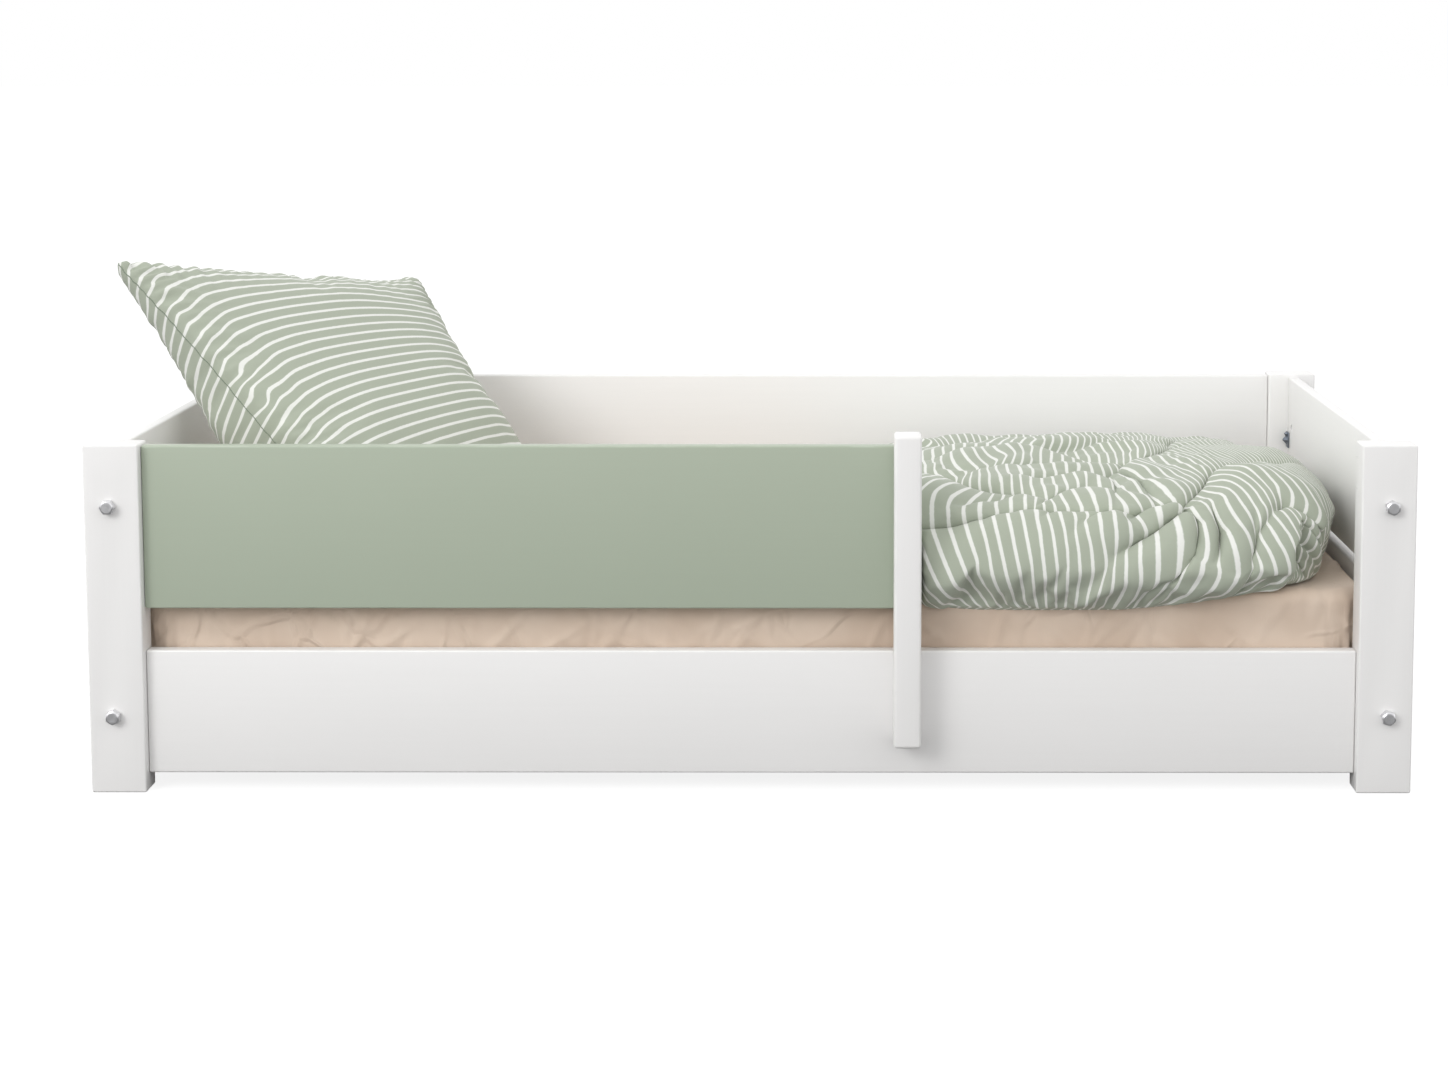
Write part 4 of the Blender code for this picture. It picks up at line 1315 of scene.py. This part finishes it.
duvetStrokes = [
    # depth, width and path: along the bed, then up the front and over the top
    (-0.032, 0.015, ((0.10, 0.125), (0.22, 0.128), (0.30, 0.136), (0.36, 0.155), (0.44, 0.150))),
    (0.014, 0.040, ((0.10, 0.19), (0.24, 0.20), (0.34, 0.24))),
    (-0.036, 0.018, ((0.14, 0.32), (0.24, 0.29), (0.32, 0.225), (0.39, 0.20))),
    (-0.038, 0.015, ((0.35, 0.27), (0.44, 0.31), (0.53, 0.37), (0.58, 0.46))),
    (-0.038, 0.010, ((0.455, 0.080), (0.50, 0.108), (0.535, 0.135), (0.545, 0.170))),
    (-0.022, 0.008, ((0.470, 0.130), (0.495, 0.155), (0.535, 0.172))),
    (-0.036, 0.013, ((0.49, 0.175), (0.545, 0.185), (0.60, 0.27), (0.66, 0.35), (0.73, 0.40))),
    (-0.028, 0.009, ((0.545, 0.175), (0.558, 0.125), (0.550, 0.080), (0.525, 0.045))),
    (-0.032, 0.010, ((0.583, 0.065), (0.592, 0.115), (0.590, 0.170))),
    (0.016, 0.040, ((0.60, 0.20), (0.66, 0.23), (0.71, 0.24))),
    (-0.030, 0.014, ((0.53, 0.45), (0.57, 0.52), (0.60, 0.62))),
    (-0.024, 0.009, ((0.66, 0.145), (0.70, 0.152), (0.76, 0.150))),
    (-0.026, 0.009, ((0.69, 0.030), (0.72, 0.042), (0.76, 0.046))),
    (-0.016, 0.006, ((0.69, 0.075), (0.72, 0.088), (0.75, 0.090))),
    (-0.016, 0.006, ((0.69, 0.105), (0.72, 0.118), (0.75, 0.120))),
    (-0.014, 0.007, ((0.405, 0.105), (0.425, 0.125), (0.450, 0.135))),
    (-0.014, 0.007, ((0.365, 0.115), (0.385, 0.135), (0.415, 0.150))),
    (-0.016, 0.008, ((0.620, 0.050), (0.632, 0.095), (0.636, 0.150))),
    (-0.020, 0.015, ((0.14, 0.42), (0.26, 0.40), (0.40, 0.43), (0.50, 0.50))),
    (-0.020, 0.016, ((0.16, 0.56), (0.32, 0.58), (0.46, 0.55))),
    (-0.022, 0.015, ((0.64, 0.45), (0.69, 0.54), (0.68, 0.66))),
    (-0.014, 0.009, ((0.26, 0.17), (0.31, 0.185), (0.34, 0.20))),
    (-0.012, 0.007, ((0.20, 0.22), (0.23, 0.24), (0.25, 0.27))),
    (-0.020, 0.009, ((0.36, 0.165), (0.39, 0.20), (0.43, 0.23), (0.46, 0.22))),
    (-0.020, 0.008, ((0.44, 0.152), (0.475, 0.157), (0.505, 0.172))),
    (-0.018, 0.010, ((0.462, 0.36), (0.468, 0.24), (0.455, 0.165))),
    (-0.020, 0.009, ((0.483, 0.37), (0.500, 0.26), (0.510, 0.20))),
    (-0.016, 0.011, ((0.665, 0.14), (0.645, 0.11), (0.635, 0.06))),
    (-0.018, 0.009, ((0.690, 0.30), (0.720, 0.22), (0.745, 0.17))),
    (-0.014, 0.008, ((0.30, 0.30), (0.35, 0.33), (0.40, 0.36))),
]


def layDuvetStripes(mesh, flat, s, t, side):
    look = duvetLook
    layout = mesh.uv_layers["cloth"]
    corner = readValues(mesh.loops, "vertex_index", kind=np.int32)
    # the stripes lean and swirl towards the foot
    lean = np.clip((s - 0.42) / 0.3, 0, 1) ** 2 * (t - 0.16) * 0.55
    swirl = smoothNoise(np.column_stack([s, t, 0 * s]), 5.0, 21) * 0.030
    # and lie closer together where the top is bunched up
    crowd = look["stripeScale"] * (1 + look["stripeCrowd"] * np.clip((t - 0.18) / 0.25, 0, 1))
    flatS = (flat[:, 0] + (lean + swirl) * (side >= 0)) * crowd
    uv = np.column_stack([flatS[corner], flat[corner, 1]]).astype(np.float32)
    layout.data.foreach_set("uv", uv.ravel())


def makeDuvet():
    look = duvetLook
    mattressLow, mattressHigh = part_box("mattress")
    base = mattressHigh.z + look["clearance"]
    # nearer the front than this, the duvet hangs over the mattress's edge
    brink = mattressLow.y + look["overEdge"]
    width, depth = look["right"] - look["left"], look["far"] - look["near"]
    centre = ((look["left"] + look["right"]) / 2, (look["near"] + look["far"]) / 2)
    flatLength = depth + 2 * look["height"] * 0.8
    flatWidth = width + look["height"] * 0.9
    shape = clothPanels(flatWidth, flatLength, look["columns"], look["rows"])
    mesh = meshFrom(shape, "visual_duvet")
    obj = addObject("visual_duvet", mesh, bedding)
    side = readValues(mesh.attributes["panel"].data, "value")
    flat = pointsOf(mesh)
    u, v = flat[:, 0] / (flatWidth / 2), flat[:, 1] / (flatLength / 2)
    # reach: 0 in the middle, 1 at the rim, on rounded rectangles
    square = np.maximum(np.maximum(np.abs(u), np.abs(v)), 1e-9)
    du, dv = u / square, v / square
    power = look["squareness"]
    rounding = (np.abs(du) ** power + np.abs(dv) ** power + 1e-12) ** (-1 / power)
    rounding = np.where(square < 1e-6, 1, rounding)
    share = np.clip((1 - square) / look["edge"], 0, 1)
    swing = share * (math.pi / 2 + look["tuck"]) - look["tuck"]
    plan = 1 - look["edge"] * 0.5 * (1 - np.cos(swing))
    inner = 1 - look["edge"] * 0.5
    plan = np.where(share >= 1, inner * square / (1 - look["edge"]), plan)
    # on the underside the cloth lies flat, inside the rim
    flatPlan = square * (1 - look["edge"] * 0.5 * (1 - math.cos(look["tuck"])))
    lift = (np.sin(swing) + math.sin(look["tuck"])) / (1 + math.sin(look["tuck"]))
    s = centre[0] + du * rounding * plan * width / 2
    y = centre[1] + dv * rounding * plan * depth / 2
    t = flat[:, 1] + flatLength / 2
    folds, crowdS, crowdT = strokeField(s, t, duvetStrokes)
    lumps = sum(smoothNoise(np.column_stack([s, t, 0 * s]), scale, seed) * height
                for scale, seed, height in look["lumps"])
    top = look["height"] * heapHeight(s, y) * lift
    # how far the rim hangs over the mattress edge: less towards the foot
    footward = np.clip((s - 0.48) / 0.20, 0, 1)
    hang = look["droop"] + (look["droopEnd"] - look["droop"]) * footward
    droop = hang * np.clip((brink - y) / 0.03, 0, 1)
    z = base - droop * (1 - lift) + top
    under = np.where(y > brink, base, base - droop)
    z = np.where(side < 0, under, z)
    x = np.where(side < 0, centre[0] + du * rounding * flatPlan * width / 2, s)
    y = np.where(side < 0, centre[1] + dv * rounding * flatPlan * depth / 2, y)
    setPoints(mesh, np.column_stack([x, y, z]))
    normals = readValues(mesh.vertices, "normal", 3)
    free = np.clip(share * 3, 0, 1) * (side > 0)
    points = pointsOf(mesh) + normals * ((folds + lumps) * free)[:, None]
    # the cloth crowds in over each crease, so that its two lips nearly meet
    upward = np.clip(np.sin(swing), 0, 1)
    points[:, 0] += look["pinch"] * crowdS * free
    points[:, 1] += look["pinch"] * crowdT * free * upward
    points[:, 2] += look["pinch"] * crowdT * free * np.sqrt(1 - upward ** 2) * -np.sign(v)
    setPoints(mesh, points)
    simulateCloth(obj, look["frames"], look["cap"], duvetCloth,
                  pins=np.where(side <= 0, 1.0, 0.0))
    settled = pointsOf(mesh)
    settled[:, 0] = np.minimum(settled[:, 0], mattressHigh.x - 0.004)
    # behind the rail the duvet presses flat against it
    pressed = settled[:, 0] < look["railEnd"]
    settled[:, 1] = np.maximum(settled[:, 1], np.where(pressed, look["railBack"], -1))
    floorZ = np.where(settled[:, 1] > brink, base, base - hang)
    settled[:, 2] = np.maximum(settled[:, 2], np.where(side > 0, floorZ + 0.0005, floorZ))
    assert np.isfinite(settled).all()
    setPoints(mesh, settled)
    print("duvet spans", settled.min(axis=0).round(3), settled.max(axis=0).round(3))
    layDuvetStripes(mesh, flat, s, t, side)
    subdivide(obj)
    return finishPiece(obj, "duvet", ["duvet"])


makeDuvet()
print("duvet made")


# floor, light and camera

studio = {
    "keyPlace": (-4.7, -6.3, 4.4), "keyTarget": (0, 0, 0.3), "key": 245.0, "keySize": 4.0,
    "horizon": 1.37, "zenith": 0.83, "groundGlow": 0.86, "floorSize": 60,
    "cameraPlace": (0.1122, -3.6736, 0.9492), "tilt": 6.02, "pan": 0.146, "lens": 65.6,
    "sensor": 36.0, "shift": (-0.0746, -0.15), "farClip": 200.0,
}


def makeFloor():
    shape = bmesh.new()
    bmesh.ops.create_grid(shape, x_segments=1, y_segments=1, size=studio["floorSize"])
    floor = addObject("floor", meshFrom(shape, "floor"))
    material, tree, shader = newMaterial("studioFloor", 0.9)
    place = objectPlace(tree)
    speckle = remap(tree, noiseAt(tree, place, 40.0, 3.0), 0.3, 0.7)
    colour = mixColour(tree, speckle, (0.225, 0.225, 0.225, 1), (0.235, 0.235, 0.235, 1))
    # the floor shows nearly white, but lights the bed from below like a grey one
    seen = put(tree, "ShaderNodeLightPath").outputs["Is Camera Ray"]
    glow = put(tree, "ShaderNodeMapRange", {"Value": seen, "To Min": 0.0,
                                            "To Max": studio["groundGlow"]}).outputs[0]
    feed(tree, shader, {"Base Color": colour, "Emission Strength": glow,
                        "Emission Color": (1, 1, 1, 1), "Specular IOR Level": 0.0})
    floor.data.materials.append(material)


def addLight(name, location, target, size, energy):
    light = bpy.data.lights.new(name, "AREA")
    light.shape = "DISK"
    light.size = size
    light.energy = energy
    obj = bpy.data.objects.new(name, light)
    scene.collection.objects.link(obj)
    obj.location = location
    obj.rotation_euler = (Vector(target) - Vector(location)).to_track_quat("-Z", "Y").to_euler()


def makeWorld():
    # white behind the bed, and a softer grey for the light that it gives
    world = bpy.data.worlds.new("studio")
    scene.world = world
    world.use_nodes = True
    tree = world.node_tree
    tree.nodes.clear()
    seen = put(tree, "ShaderNodeLightPath").outputs["Is Camera Ray"]
    way = put(tree, "ShaderNodeTexCoord").outputs["Generated"]
    height = put(tree, "ShaderNodeSeparateXYZ", {0: way}).outputs[2]
    strength = put(tree, "ShaderNodeMapRange", {
        "Value": height, "From Min": 0.0, "From Max": 1.0,
        "To Min": studio["horizon"], "To Max": studio["zenith"]}).outputs[0]
    soft = put(tree, "ShaderNodeBackground", {"Color": (1, 1, 1, 1), "Strength": strength})
    white = put(tree, "ShaderNodeBackground", {"Color": (1, 1, 1, 1), "Strength": 1.0})
    mixed = put(tree, "ShaderNodeMixShader", {0: seen, 1: soft.outputs[0], 2: white.outputs[0]})
    out = put(tree, "ShaderNodeOutputWorld")
    tree.links.new(mixed.outputs[0], out.inputs[0])


def makeCamera():
    data = bpy.data.cameras.new("camera")
    data.sensor_width = studio["sensor"]
    data.lens = studio["lens"]
    data.shift_x, data.shift_y = studio["shift"]
    data.clip_end = studio["farClip"]
    camera = bpy.data.objects.new("camera", data)
    scene.collection.objects.link(camera)
    camera.location = studio["cameraPlace"]
    camera.rotation_euler = (math.radians(90 - studio["tilt"]), 0, math.radians(studio["pan"]))
    scene.camera = camera


makeFloor()
addLight("key", studio["keyPlace"], studio["keyTarget"], studio["keySize"], studio["key"])
makeWorld()
makeCamera()
scene.view_settings.view_transform = "Standard"
print("floor, lights and camera made")
